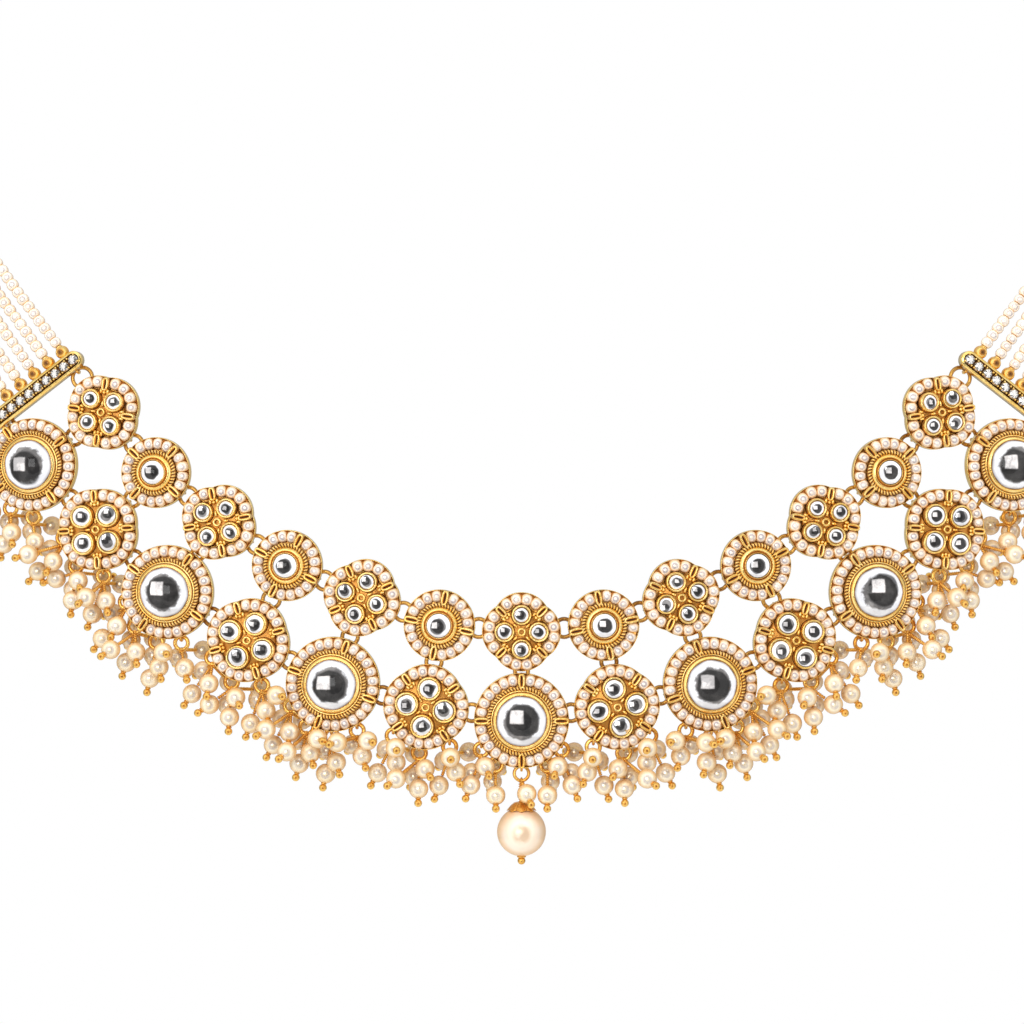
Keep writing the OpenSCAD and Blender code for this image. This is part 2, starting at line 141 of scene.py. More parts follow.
class Shell:
    """Gathers grids of points, and turns them into one mesh with marks on its points. A mark is
    three numbers: how deep in a recess (0 to 1), which the finishes paint as shade, a tone (0
    dark, 1 bright; on the brilliants it paints their facets' reflections) and a free one. On
    copies, the last two say where on its own copy a point lies, which places the beads' painted
    halo and flank shade."""

    def __init__(self):
        self.points, self.marks, self.foil, self.faces, self.size = [], [], [], [], 0

    def add(self, grid, close_u=True, close_v=False, mark=0.0, tone=0.5, extra=0.0, foil=None):
        """Adds a grid (nu, nv, 3): quads join neighbours, and wrap round where it is closed."""
        nu, nv = grid.shape[:2]
        index = np.arange(nu * nv).reshape(nu, nv)
        if close_u:
            index = np.concatenate([index, index[:1]], 0)
        if close_v:
            index = np.concatenate([index, index[:, :1]], 1)
        quads = np.stack([index[:-1, :-1], index[1:, :-1], index[1:, 1:], index[:-1, 1:]], -1)
        self.faces.append(quads.reshape(-1, 4) + self.size)
        self.points.append(grid.reshape(-1, 3))
        m = np.zeros((nu, nv, 3))
        m[..., 0], m[..., 1], m[..., 2] = mark, tone, extra
        self.marks.append(m.reshape(-1, 3))
        self.foil.append((grid * 0 if foil is None else foil).reshape(-1, 3))
        self.size += nu * nv
        return self

    def turn(self, rows, n, axes=None, origin=(0, 0, 0), closed=False):
        """Adds rows of (radius, height, mark) carried round z of the axes."""
        rows = np.array(rows, float)
        grid = at(turned_body(rows[:, :2], n), axes, origin)
        return self.add(grid, close_v=closed, mark=rows[:, 2])

    def ring(self, size, axes=None, origin=(0, 0, 0), mark=0.1, tone=0.5):
        """Adds a torus: size is its radius, its wire's, and the samples round each; its mark
        paints a little shade on it.
        """
        return self.add(at(torus(*size), axes, origin), close_v=True, mark=mark, tone=tone)

    def merge(self, other, axes=None, origin=(0, 0, 0)):
        """Adds another shell's surfaces, turned by the axes and moved to the origin."""
        axes = np.eye(3) if axes is None else axes
        for p, m, f, q in zip(other.points, other.marks, other.foil, other.faces):
            self.points.append(p @ axes.T + origin)
            self.marks.append(m)
            self.foil.append(f @ axes.T)
            self.faces.append(q + self.size)
        self.size += other.size
        return self

    def copies(self, other, axes, origins, r):
        """Adds many copies of a shell of radius r at once: axes (n, 3, 3), origins (n, 3).
        The second and third marks are a point's offset from its own middle, sideways and up,
        in shares of r."""
        p, m, q = (np.concatenate(part) for part in (other.points, other.marks, other.faces))
        n = len(origins)
        offset = np.einsum("nij,pj->npi", axes, p)
        self.points.append((offset + origins[:, None]).reshape(-1, 3))
        marks = np.repeat(m[None], n, 0)
        marks[..., 1:] = offset[..., [0, 2]] / r
        self.marks.append(marks.reshape(-1, 3))
        self.foil.append(np.zeros((n * len(p), 3)))
        first = self.size + np.arange(n) * len(p)
        self.faces.append((q[None] + first[:, None, None]).reshape(-1, 4))
        self.size += n * len(p)
        return self

    def piece(self, name, finish, slot, nodes=(), body="necklace", flat=False):
        """Makes the object, merges its seams and poles, ties it to body and hides the nodes. The
        slot is not used.
        """
        points = np.concatenate(self.points) * MM
        faces = np.concatenate(self.faces)
        mesh = bpy.data.meshes.new(name)
        mesh.vertices.add(len(points))
        mesh.vertices.foreach_set("co", points.astype(np.float32).ravel())
        mesh.loops.add(faces.size)
        mesh.loops.foreach_set("vertex_index", faces.astype(np.int32).ravel())
        mesh.polygons.add(len(faces))
        mesh.polygons.foreach_set("loop_start", np.arange(0, faces.size, 4, dtype=np.int32))
        mesh.update(calc_edges=True)
        mark = mesh.attributes.new("mark", "FLOAT_VECTOR", "POINT")
        mark.data.foreach_set("vector", np.concatenate(self.marks).astype(np.float32).ravel())
        foil = np.concatenate(self.foil)
        if np.abs(foil).max() > 0:
            a = mesh.attributes.new("foil", "FLOAT_VECTOR", "POINT")
            a.data.foreach_set("vector", foil.astype(np.float32).ravel())
        work = bmesh.new()
        work.from_mesh(mesh)
        bmesh.ops.remove_doubles(work, verts=work.verts, dist=2e-7)
        bmesh.ops.recalc_face_normals(work, faces=work.faces)
        work.to_mesh(mesh)
        work.free()
        mesh.polygons.foreach_set("use_smooth", np.full(len(mesh.polygons), not flat))
        mesh.materials.append(finish)
        mesh.validate()
        obj = add_to_scene(bpy.data.objects.new(name, mesh))
        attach(obj, body)
        if nodes:
            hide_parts(*nodes)


def around(n, start=0.0):
    """n angles evenly round a circle."""
    return start + np.arange(n) * TAU / n


def polar(r, phi, z):
    """Points at radius r, angle phi and height z, as x, y and z."""
    return np.stack(np.broadcast_arrays(r * np.cos(phi), r * np.sin(phi), z), -1)


def revolve(profile, n, outline):
    """Carries a profile of (share, inset, height) round z: radius = share times the outline's
    radius at that angle, less the inset."""
    phi = around(n)[:, None]
    share, inset, z = np.asarray(profile, float).T
    return polar(outline(phi) * share - inset, phi, z)


def turned_body(profile, n):
    """Carries a profile of (radius, height) round z."""
    r, z = np.asarray(profile, float).T
    return polar(r, around(n)[:, None], z)


def torus(r, wire, n, m):
    """A ring about z: a circle of the wire's radius carried round a circle of radius r."""
    psi = around(m)
    return polar(r + wire * np.cos(psi), around(n)[:, None], wire * np.sin(psi))


def ball(r, n, m, stretch=1.0):
    """A sphere about z, from pole to pole, drawn out along z by the stretch."""
    t = np.linspace(-math.pi / 2, math.pi / 2, m)
    return turned_body(np.stack([r * np.cos(t), stretch * r * np.sin(t)], 1), n)


def tube(path, r, m):
    """A tube: circles across each point of the path, in axes that turn with it."""
    t = unit(np.gradient(path, axis=0))
    side = unit(np.cross(t, (0.0, 0.0, 1.0)))
    up = np.cross(side, t)
    psi = around(m)[None, :, None]
    return path[:, None] + r * (np.cos(psi) * side[:, None] + np.sin(psi) * up[:, None])


def at(grid, axes=None, origin=(0, 0, 0)):
    """Turns a grid by the axes, and moves it to the origin."""
    return (grid if axes is None else grid @ axes.T) + np.asarray(origin, float)


def smoothstep(x, a, b):
    """0 below a, 1 above b, and 3t^2 - 2t^3 of the share t of the way between."""
    t = np.clip((x - a) / (b - a), 0, 1)
    return t * t * (3 - 2 * t)


def distances(line):
    """Distance along a line of points, at each of them."""
    return np.concatenate([[0], np.cumsum(np.linalg.norm(np.diff(line, axis=0), axis=1))])


def walk(line, along, s):
    """Points at the distances s along a line."""
    return np.stack([np.interp(s, along, c) for c in line.T], 1)


# Finishes

def feed(tree, value, socket):
    """Links a shader value to a socket, or sets a plain one."""
    if isinstance(value, Term):
        tree.links.new(value.socket, socket)
    elif value is not None:
        socket.default_value = value


class Term:
    """A shader value that can be used in Python sums; each operator adds a Math node. Its size
    is the value without a sign, and least and most are the smaller and larger of two."""

    def __init__(self, tree, socket):
        self.tree, self.socket = tree, socket

    def _math(self, operation, a, b=None):
        n = self.tree.nodes.new("ShaderNodeMath")
        n.operation = operation
        feed(self.tree, a, n.inputs[0])
        feed(self.tree, b, n.inputs[1])
        return Term(self.tree, n.outputs[0])

    def __add__(self, other):
        return self._math("ADD", self, other)

    def __radd__(self, other):
        return self._math("ADD", other, self)

    def __sub__(self, other):
        return self._math("SUBTRACT", self, other)

    def __rsub__(self, other):
        return self._math("SUBTRACT", other, self)

    def __mul__(self, other):
        return self._math("MULTIPLY", self, other)

    def __rmul__(self, other):
        return self._math("MULTIPLY", other, self)

    def __truediv__(self, other):
        return self._math("DIVIDE", self, other)

    def power(self, other):
        return self._math("POWER", self, other)

    def size(self):
        return self._math("ABSOLUTE", self)

    def least(self, other):
        return self._math("MINIMUM", self, other)

    def most(self, other):
        return self._math("MAXIMUM", self, other)


class Maker:
    """Adds nodes to a tree: one method takes a type, its settings and its sockets' values."""

    def __init__(self, tree):
        self.tree = tree
        tree.nodes.clear()

    def node(self, kind, settings=None, inputs=None, out=0):
        """Adds a node, and gives one of its outputs."""
        n = self.tree.nodes.new(kind)
        for key, value in (settings or {}).items():
            setattr(n, key, value)
        for key, value in (inputs or {}).items():
            feed(self.tree, value, n.inputs[key])
        return Term(self.tree, n.outputs[out]) if n.outputs else None

    def split(self, vector):
        """The three numbers of a vector."""
        n = self.tree.nodes.new("ShaderNodeSeparateXYZ")
        feed(self.tree, vector, n.inputs[0])
        return [Term(self.tree, socket) for socket in n.outputs]

    def mix(self, factor, a, b):
        """A colour between a and b."""
        return self.node("ShaderNodeMix", {"data_type": "RGBA"}, {0: factor, 6: a, 7: b}, 2)

    def ramp(self, value, low, high):
        """0 below low, 1 above high, even between."""
        return self.node("ShaderNodeMapRange", {"clamp": True},
                         {0: value, 1: low, 2: high, 3: 0.0, 4: 1.0})


def rgb(r, g, b):
    """A colour given as the eye sees it, from 0 to 255, as the shader's linear values."""
    c = np.array([r, g, b]) / 255
    lin = np.where(c <= 0.04045, c / 12.92, ((c + 0.055) / 1.055) ** 2.4)
    return (*map(float, lin), 1.0)


def new_finish(name):
    """An empty material, and the maker that fills it."""
    m = bpy.data.materials.new(name)
    m.use_nodes = True
    return m, Maker(m.node_tree)


def marks(make):
    """The three marks of a point: recess, tone, extra."""
    return make.split(make.node("ShaderNodeAttribute", {"attribute_name": "mark"}, out=1))


def noise(make, scale, detail, roughness=0.5):
    """Soft noise from 0 to 1 on a piece's own coordinates, with so many patches a metre."""
    place = make.node("ShaderNodeTexCoord", out=3)
    return make.node("ShaderNodeTexNoise", None,
                     {"Vector": place, "Scale": scale, "Detail": detail, "Roughness": roughness})


def surface(make, values, bump=None):
    """Ends a material in one shader. A bump is (height from 0 to 1, its metres, strength)."""
    if bump is not None:
        height, metres, strength = bump
        values["Normal"] = make.node("ShaderNodeBump", None, {
            "Height": height, "Strength": strength, "Distance": metres})
    shader = make.node("ShaderNodeBsdfPrincipled", None, values)
    make.node("ShaderNodeOutputMaterial", None, {"Surface": shader})


def gold_finish(name, bright, deep, rough, dents=0.35):
    """Plated gold: tone shifts over a few millimetres, and painted shade turns it orange, then
    dark brown, where the recess mark is deep.
    """
    m, make = new_finish(name)
    recess, tone, _ = marks(make)
    cloud = noise(make, 420.0, 3.0)
    grain = noise(make, 1300.0, 4.0, 0.55)
    base = make.mix(make.ramp(cloud + (tone - 0.5) * 0.4, 0.32, 0.72), deep, bright)
    # painted shade: orange, then dark brown, as the recess mark deepens, where the gold also
    # mirrors less
    base = make.mix(make.ramp(recess, 0.05, 0.7), base, rgb(220, 152, 64))
    base = make.mix(make.ramp(recess, 0.72, 1.0), base, rgb(74, 36, 8))
    surface(make, {"Base Color": base, "Metallic": 1.0 - recess * 0.55,
                   "Roughness": rough + grain * 0.1 + recess * 0.2}, (grain, 2.2e-4, dents))
    return m


def bead_finish(name, pale, warm, rough, coat, lustre, halo, rim, deep=(232, 184, 122),
                shade=(170, 160, 164)):
    """Pearly bead: its tone lies between two creams, its skin is uneven, a share of it mirrors
    like metal, a faint grey halo round its front is a painted reflection, its flanks are painted
    tan shade, and its recesses get painted shade in the deep colour. The halo is (radius, half
    width, strength) and the rim (start, end, strength), in shares of its radius."""
    m, make = new_finish(name)
    recess, side, up = marks(make)
    cloud = noise(make, 260.0, 3.0)
    base = make.mix(make.ramp(cloud, 0.35, 0.65), pale, warm)
    away = (side * side + up * up).power(0.5)
    # painted reflection: a grey halo round the bead's front, in the shade colour
    ring = 1 - make.ramp((away - halo[0]).size(), halo[1] * 0.4, halo[1])
    patchy = make.ramp(noise(make, 620.0, 2.0), 0.3, 0.55) * 0.7 + 0.3
    base = make.mix(ring * patchy * halo[2], base, rgb(*shade))
    # painted shade: tan on the flanks, away from the front
    base = make.mix(make.ramp(away, rim[0], rim[1]) * rim[2], base, rgb(232, 180, 104))
    # painted shade in recesses, in the deep colour
    base = make.mix(recess.least(1.0), base, rgb(*deep))
    surface(make, {"Base Color": base, "Roughness": rough + cloud * 0.08,
                   "Metallic": lustre, "Coat Weight": coat,
                   "Coat Roughness": 0.04, "Coat IOR": 1.6},
            (noise(make, 700.0, 2.0), 3e-5, 0.1))
    return m


def foil_finish():
    """Cut glass on silver foil: the foil mirrors along its own tilt, kept on the points, and
    the clear face over it is the coat. A dark middle and a light ring round it are painted on the
    foil as a reflection, and shade is painted at the stone's edge."""
    m, make = new_finish("foiled_glass")
    recess, _, share = marks(make)
    cloud = noise(make, 700.0, 3.0)
    # painted reflection: the foil's colour is dark in the middle and light in a ring round it
    ring = make.ramp(share + (cloud - 0.5) * 0.35, 0.7, 0.78)
    haze = make.ramp(noise(make, 330.0, 6.0, 0.62), 0.42, 0.66)
    dark = make.mix(haze, rgb(104, 102, 102), rgb(158, 154, 152))
    silver = make.mix(ring, dark, make.mix(haze, rgb(226, 226, 230), rgb(250, 250, 252)))
    # painted shade at the stone's edge and side
    silver = make.mix(recess.least(1.0), silver, rgb(120, 104, 92))
    tilt = make.node("ShaderNodeAttribute", {"attribute_name": "foil"}, out=1)
    surface(make, {"Base Color": silver, "Metallic": 1.0, "Roughness": 0.03 + cloud * 0.03,
                   "Coat Weight": 0.5, "Coat Roughness": 0.01, "Normal": tilt})
    return m


def gem_finish():
    """Small brilliants: mirror facets painted light or dark by their tone, as painted reflections,
    and painted shade in the corners.
    """
    m, make = new_finish("bar_gem")
    recess, tone, _ = marks(make)
    # painted reflections: the tone makes each facet light or dark
    base = make.mix(tone, rgb(84, 74, 66), rgb(255, 253, 250))
    # painted shade at the foot
    base = make.mix(recess.least(1.0), base, rgb(96, 76, 50))
    surface(make, {"Base Color": base, "Metallic": 0.9, "Roughness": 0.05 + recess * 0.2,
                   "Coat Weight": 0.6, "Coat Roughness": 0.01})
    return m


def thread_finish():
    """Waxed thread: tan, dull, with fine twist."""
    m, make = new_finish("thread")
    twist = noise(make, 3000.0, 2.0)
    surface(make, {"Base Color": make.mix(twist, rgb(226, 176, 108), rgb(246, 210, 150)),
                   "Roughness": 0.6 + twist * 0.2}, (twist, 3e-5, 0.3))
    return m


GOLD = gold_finish("gold_plate", rgb(255, 230, 156), rgb(250, 204, 108), 0.1)
GOLD_WIRE = gold_finish("gold_wire", rgb(250, 206, 116), rgb(224, 160, 70), 0.12)
BRASS = gold_finish("link_brass", rgb(206, 158, 82), rgb(132, 88, 38), 0.14)
CLASP = gold_finish("clasp_gold", rgb(236, 196, 110), rgb(206, 152, 70), 0.3, 0.05)
# Each bead's halo is a painted reflection, and its rim painted tan shade on its flanks
SEED = bead_finish("seed_bead", rgb(255, 248, 237), rgb(252, 234, 212), 0.08, 0.4, 0.2,
                   (0.42, 0.24, 0.95), (0.7, 1.05, 0.8))
STRING = bead_finish("string_bead", rgb(255, 249, 240), rgb(254, 238, 218), 0.1, 0.4, 0.15,
                     (0.42, 0.2, 0.8), (0.74, 1.04, 0.5), (255, 224, 184))
PEARL = bead_finish("pearl_skin", rgb(252, 240, 214), rgb(246, 226, 186), 0.1, 0.5, 0.26,
                    (0.32, 0.2, 0.65), (0.58, 0.95, 0.9))
BIG_PEARL = bead_finish("big_pearl_skin", rgb(255, 240, 222), rgb(254, 232, 208), 0.3, 0.15,
                        0.4, (0.16, 0.3, 0.7), (0.7, 1.0, 0.8), shade=(216, 180, 140))
FOIL = foil_finish()
GEM = gem_finish()
THREAD = thread_finish()


# Parts of a setting

# Room for a leaf between two runs of seed beads, and the beads' radius on settings and strings
LEAF_GAP, SEED_R, STRING_R = 1.55, 1.1, 1.16
SEEDS_PER_QUARTER = {"big": 6, "round": 4, "lower": 5, "upper": 4}
SEED_INSET, SEED_Z = 1.36, 2.06
RIM, SEED_GAP = 0.3, 0.05
ROPE_Z, ROPE_WIRE, ROPE_TWIST, ROPE_INSET = 3.1, 0.37, 0.62, 0.38
LEAF_WIDTH, FLOWER_LEAF_WIDTH, FLOWER_LEAF_LENGTH = 1.5, 1.45, 2.75
# Radius of an eye, its wire's radius, and the samples round each
EYE = (0.85, 0.3, 16, 6)
# Shares of a leaf's length and width, with height and mark, from its foot over its rim; the mark
# paints shade at the foot and in the slot
LEAF = np.array([(1.0, 1.0, 1.0, 1.0), (1.02, 1.02, 2.25, 0.9), (1.0, 0.98, 3.1, 0.1),
                 (0.93, 0.86, 3.4, 0), (0.84, 0.64, 3.5, 0), (0.74, 0.38, 3.36, 0.3),
                 (0.68, 0.22, 2.95, 1.0), (0, 0, 2.9, 1.0)])
# Radius, height and mark of the stepped walls round the middle stones; the mark paints shade in
# the grooves and down the walls
BEZELS = {
    "big": [(6.2, 1.2, 1), (6.18, 3.0, 1), (6.13, 3.14, 0.5), (6.05, 3.2, 0), (5.9, 3.28, 0.1),
            (5.84, 3.2, 0.95), (5.77, 3.2, 1), (5.7, 3.42, 0.7), (5.64, 3.58, 0.2),
            (5.58, 3.64, 0), (5.3, 3.78, 0), (5.2, 3.82, 0.1), (5.14, 3.78, 0.5), (5.09, 3.68, 1),
            (5.04, 3.73, 0.7), (4.98, 3.7, 0.8), (4.96, 1.4, 1)],
    "round": [(3.88, 1.2, 1), (3.86, 2.8, 1), (3.78, 3.1, 0.8), (3.6, 3.35, 0), (3.35, 3.55, 0),
              (3.14, 3.67, 0), (3.02, 3.64, 0.1), (2.94, 3.3, 0.75), (2.84, 3.12, 0.85),
              (2.72, 3.14, 0.8), (2.64, 3.5, 0.4), (2.6, 3.8, 0), (2.54, 3.84, 0),
              (2.5, 3.6, 0.8), (2.48, 1.4, 1)],
}


def outline_of(kind):
    """Outline of a plate, as its radius at an angle: a circle, or for a flower four discs that
    overlap, so the distance from the centre to the farthest edge."""
    reach, lobe = REACH[kind], LOBE.get(kind)
    if lobe is None:
        return lambda phi: np.full(np.shape(phi), reach)
    spread = reach - lobe

    def radius(phi):
        d = (phi + math.pi / 4) % (math.pi / 2) - math.pi / 4
        return spread * np.cos(d) + np.sqrt(lobe ** 2 - (spread * np.sin(d)) ** 2)
    return radius


def add_plate(shell, kind, n):
    """Closed dish: flat back, upright rim with a rounded lip, floor under the seed beads. Its
    rows are (share of the outline, inset, height, mark), and the mark paints shade on the floor."""
    rows = np.array([(0, 0, 0, 0.1), (0.5, 0, 0, 0.1), (1, 0.3, 0, 0), (1, 0.06, 0.12, 0),
                     (1, 0, 0.35, 0), (1, 0, 1.6, 0), (1, 0.02, 1.72, 0), (1, 0.07, 1.8, 0),
                     (1, 0.13, 1.78, 0), (1, 0.17, 1.68, 0.1), (1, 0.22, 1.45, 0.45),
                     (1, 0.6, 1.35, 0.6), (1, 2.4, 1.35, 0.6), (0.5, 0, 1.5, 0.5),
                     (0, 0, 1.5, 0.5)])
    shell.add(revolve(rows[:, :3], n, outline_of(kind)), mark=rows[:, 3])


def add_rope(shell, r):
    """Milgrain: a ring whose wire swells and shrinks as the cosine of its twists round the
    ring plus the angle round the wire, so that the swellings slant. Shade is painted where it
    shrinks, between the swellings."""
    twists = int(round(TAU * r / ROPE_TWIST))
    phi, psi = around(twists * 6)[:, None], around(8)
    wave = np.cos(twists * phi + psi)
    w = ROPE_WIRE * (1 + 0.32 * wave)
    shell.add(polar(r + w * np.cos(psi), phi, ROPE_Z + w * np.sin(psi)), close_v=True,
              mark=smoothstep(-wave, -0.35, 0.1))


def add_leaf(shell, inner, outer, width, angle):
    """Prong from the inner to the outer radius: a long loop with a thick rounded rim and a
    narrow slot. Its outline is a rounded oblong, which each row of LEAF shrinks and lifts."""
    t = around(26)
    x = (outer - inner) / 2 * np.sign(np.cos(t)) * np.abs(np.cos(t)) ** 0.8
    y = width / 2 * np.sign(np.sin(t)) * np.abs(np.sin(t)) ** 0.6
    along, across, z, deep = LEAF.T
    grid = np.stack([x[:, None] * along + (outer + inner) / 2, y[:, None] * across,
                     np.broadcast_to(z, (26, len(z)))], -1)
    shell.add(at(grid, turned(angle)), mark=deep)


def seed_path(kind, first):
    """Places, headings and pitch of seed beads along the outline: a quarter of its length for
    each run, less the room for a leaf."""
    phi = np.linspace(0, TAU, 2881) + first
    r = outline_of(kind)(phi) - SEED_INSET
    line = np.stack([r * np.cos(phi), r * np.sin(phi)], 1)
    along = distances(line)
    quarter, n = along[-1] / 4, SEEDS_PER_QUARTER[kind]
    pitch = (quarter - LEAF_GAP) / n
    s = (np.arange(4)[:, None] * quarter + LEAF_GAP / 2 + (np.arange(n) + 0.5)[None] * pitch)
    s = s.ravel()
    place = walk(line, along, s)
    return place, walk(line, along, s + 0.05) - place, pitch


def seed_bead(length, r, hole=0.0):
    """Barrel bead along z: its radius is r times the cube root of 1 - |x|^3.6, for x from -1 at
    one end to 1 at the other, with more rows near the ends. The ends dip in, or are bored, and
    the mark paints shade there, between the beads."""
    t = np.linspace(-1, 1, 6)
    x = np.sign(t) * (1 - (1 - np.abs(t)) ** 1.8)
    rad = r * np.clip(1 - np.abs(x) ** 3.6, 0, 1) ** (1 / 3)
    rad[0] = rad[-1] = max(hole, 0.55 * r)
    dip = length * (0.36 if hole else 0.4)
    rows = np.stack([rad, x * length / 2, [1, 0.35, 0, 0, 0.35, 1]], 1)
    return Shell().turn([(hole, -dip, 1), *rows, (hole, dip, 1)], 10, closed=bool(hole))


def seed_ring(shell, kind, first, axes, origin):
    """Seed beads on a setting, each turned along the ring, a little uneven."""
    place, way, pitch = seed_path(kind, first)
    n = len(place)
    bead = seed_bead(min(pitch, 2.1), SEED_R)
    z_axis = unit(np.concatenate([way, np.zeros((n, 1))], 1))
    up = np.broadcast_to((0.0, 0.0, 1.0), (n, 3))
    own = np.stack([np.cross(up, z_axis) * 1.1, up, z_axis], -1)
    own = own * (1 + rng.normal(0, 0.025, (n, 1, 1)))
    spot = np.concatenate([place, np.full((n, 1), SEED_Z)], 1) + rng.normal(0, 0.03, (n, 3))
    shell.copies(bead, np.einsum("ij,njk->nik", axes, own), spot @ axes.T + origin, SEED_R)


def cup_rows(r):
    """Cup round a small stone: outer wall, rounded lip, thin inner wall, as (radius, height,
    mark); the mark paints shade on the walls.
    """
    return [(r + 0.6, 1.0, 0.8), (r + 0.6, 2.3, 1), (r + 0.52, 2.46, 1), (r + 0.44, 2.6, 0.9),
            (r + 0.43, 3.1, 0.3), (r + 0.4, 3.5, 0), (r + 0.31, 3.76, 0), (r + 0.18, 3.84, 0),
            (r + 0.05, 3.74, 0), (r, 3.45, 0.8), (r - 0.02, 2.6, 1), (r - 0.02, 1.2, 1)]


def eye_reach(row, i):
    """Distance of the linking eyes from the middle of a motif."""
    return REACH[motif_kind(row, i)] - LINK_INSET


def add_eyes(shell, row, i):
    """Soldered eyes behind a plate: one toward each neighbour, the last ones also toward the
    bar, and in the lower row one for each ring of the fringe and for the drop."""
    place, turn = motif_place(row, i), motif_turn(row, i)
    other = "upper" if row == "lower" else "lower"
    near = [motif_place(row, k) for k in (i - 1, i + 1) if abs(k) <= LAST]
    near.append(motif_place(other, i))
    bearings = [bearing(p - place) - turn for p in near]
    if abs(i) == LAST:
        bearings.append(0.0 if i > 0 else 180.0)
    for b in bearings:
        shell.ring(EYE, turned(b) @ UPRIGHT, turned(b) @ [eye_reach(row, i), 0, -HOOK_DEPTH], 0.25)
    if row == "lower":
        angles = [angle for angle, _ in hang_set(i)]
        if i == 0:
            angles += [-a for a in angles] + [0]
        for a in angles:
            out = hang_reach(i) * direction(-90 + (-a if i < 0 else a))
            shell.ring(EYE, turned(-turn) @ SIDEWAYS, (*out, -HOOK_DEPTH), 0.25)


def round_setting(kind):
    """Round setting: dish, milgrain rope, bezel in steps, and four leaves over the seeds."""
    shell = Shell()
    add_plate(shell, kind, 96)
    rope_r = REACH[kind] - RIM - 2 * (SEED_R + SEED_GAP) - ROPE_INSET
    add_rope(shell, rope_r)
    outer, inner = rope_r + 0.3, rope_r - 0.3
    # the wall under the rope, with painted shade
    shell.turn([(outer, 1.0, 0.9), (outer, 2.8, 0.9), (inner, 2.8, 0.9), (inner, 1.0, 0.9)], 64,
               closed=True)
    shell.turn(BEZELS[kind], 80, closed=True)
    for a in range(0, 360, 90):
        add_leaf(shell, rope_r - 0.1, REACH[kind] - 0.03, LEAF_WIDTH, a)
    return shell


def flower_setting(kind):
    """Flower setting: lobed dish, four cups, a button in the middle, knots and leaves."""
    shell = Shell()
    add_plate(shell, kind, 112)
    for a in range(0, 360, 90):
        shell.turn(cup_rows(STONES[kind][0] + 0.02), 40, turned(a),
                   turned(a) @ [CUP_OFFSET[kind], 0, 0], closed=True)
    outer = float(outline_of(kind)(math.pi / 4)) - 0.05
    inner = outer - FLOWER_LEAF_LENGTH
    # floor between the cups, with painted shade
    shell.turn([(0, 1.2, 0.9), (inner + 0.5, 1.2, 0.9), (inner + 0.45, 2.1, 0.82),
                (inner - 0.2, 2.35, 0.78), (0, 2.4, 0.78)], 48)
    # button in the middle, with painted shade in its hole and down its walls
    shell.turn([(0.86, 1.2, 0.6), (0.9, 3.0, 0.4), (0.84, 3.26, 0), (0.66, 3.34, 0),
                (0.48, 3.24, 0), (0.4, 2.9, 0.8), (0.38, 1.4, 1)], 24, closed=True)
    knots = ((inner - 0.3, 0.0, 0.4, 1.0), (inner - 0.1, 0.7, 0.32, 1.7),
             (inner - 0.1, -0.7, 0.32, 1.7), (1.75, 0.0, 0.34, 2.0))
    for a in range(45, 360, 90):
        add_leaf(shell, inner, outer, FLOWER_LEAF_WIDTH, a)
        for along, across, r, stretch in knots:
            shell.add(at(ball(r, 10, 7, 1.1) * [stretch, 1, 1] + [along, across, 2.75], turned(a)),
                      mark=0.05)
    return shell


# Stones

# Radius, heights of girdle and top, radius of the foil's curve, unevenness of the foil
STONES = {"big": (4.95, 3.75, 5.8, 12.5, 0.04), "round": (2.45, 3.5, 4.9, 5.5, 0.07),
          "lower": (1.95, 3.35, 4.2, 4.3, 0.13), "upper": (1.58, 3.2, 4.1, 3.5, 0.13)}
STONE_BASE = 1.52
CUP_OFFSET = {"lower": 3.8, "upper": 3.4}


def stone(shell, kind, axes, origin):
    """A stone: straight girdle, slanting crown, low domed table. The foil's tilt at a point
    grows with its distance from the axis as on a ball of radius foil_r, and wanders a little
    with the angle, as pressed foil does. The whole foil is turned so that its middle mirrors
    the front into the camera."""
    r, girdle, top, foil_r, uneven = STONES[kind]
    n, spread = (40, 1.02) if kind == "big" else (24, 1.25)
    rows = np.array([0.0, 0.12, 0.25, 0.38, 0.5, 0.62, 0.74, 0.84, 0.91, 0.96, 0.99, 1.0])
    phi = around(n)[:, None]
    facets = 1 + 0.012 * np.cos(8 * phi + rng.uniform(0, TAU))
    grid = polar(facets * rows * r, phi, girdle + (top - girdle) * (1 - rows ** 2.4))
    wobble = sum(rng.normal(0, uneven / k) * np.cos(k * phi + rng.uniform(0, TAU))
                 for k in (2, 3, 4, 5))
    tilt = np.arcsin(np.clip(rows * r / foil_r * (1 + wobble * 1.4), 0, 0.97))
    foil = polar(np.sin(tilt), phi, np.cos(tilt)) + [*rng.normal(0, uneven * 0.6, 2), 0]
    halfway = unit(unit(CAMERA_AT - origin - axes @ [0, 0, girdle]) + FRONT)
    foil = unit(foil @ axes.T @ turn_between(axes[:, 2], halfway).T)
    # The mark paints shade at the edge, the side below gets painted shade too, and extra places
    # the foil's painted dark middle and light ring
    shell.add(at(grid, axes, origin), mark=smoothstep(rows, 0.93, 1.0) * 0.85,
              tone=rng.uniform(), extra=rows * spread, foil=foil)
    side = turned_body([(0.0, STONE_BASE), (r * 0.97, STONE_BASE), (r, girdle)], n)
    shell.add(at(side, axes, origin), mark=0.8, foil=np.broadcast_to(axes[:, 2], side.shape))


def turn_between(a, b):
    """Rotation that takes direction a to direction b: the identity, plus the cross product's
    matrix, plus its square over one plus the cosine."""
    v, c = np.cross(a, b), float(np.dot(a, b))
    k = np.array([[0, -v[2], v[1]], [v[2], 0, -v[0]], [-v[1], v[0], 0]])
    return np.eye(3) + k + k @ k / (1 + c)


# The two rows of motifs

SETTING_NAMES = {"big": "big_setting", "round": "round_setting",
                 "lower": "lower_flower_setting", "upper": "upper_flower_setting"}
SMALL_STONES = {"round": "round_stones", "lower": "lower_flower_stones",
                "upper": "upper_flower_stones"}


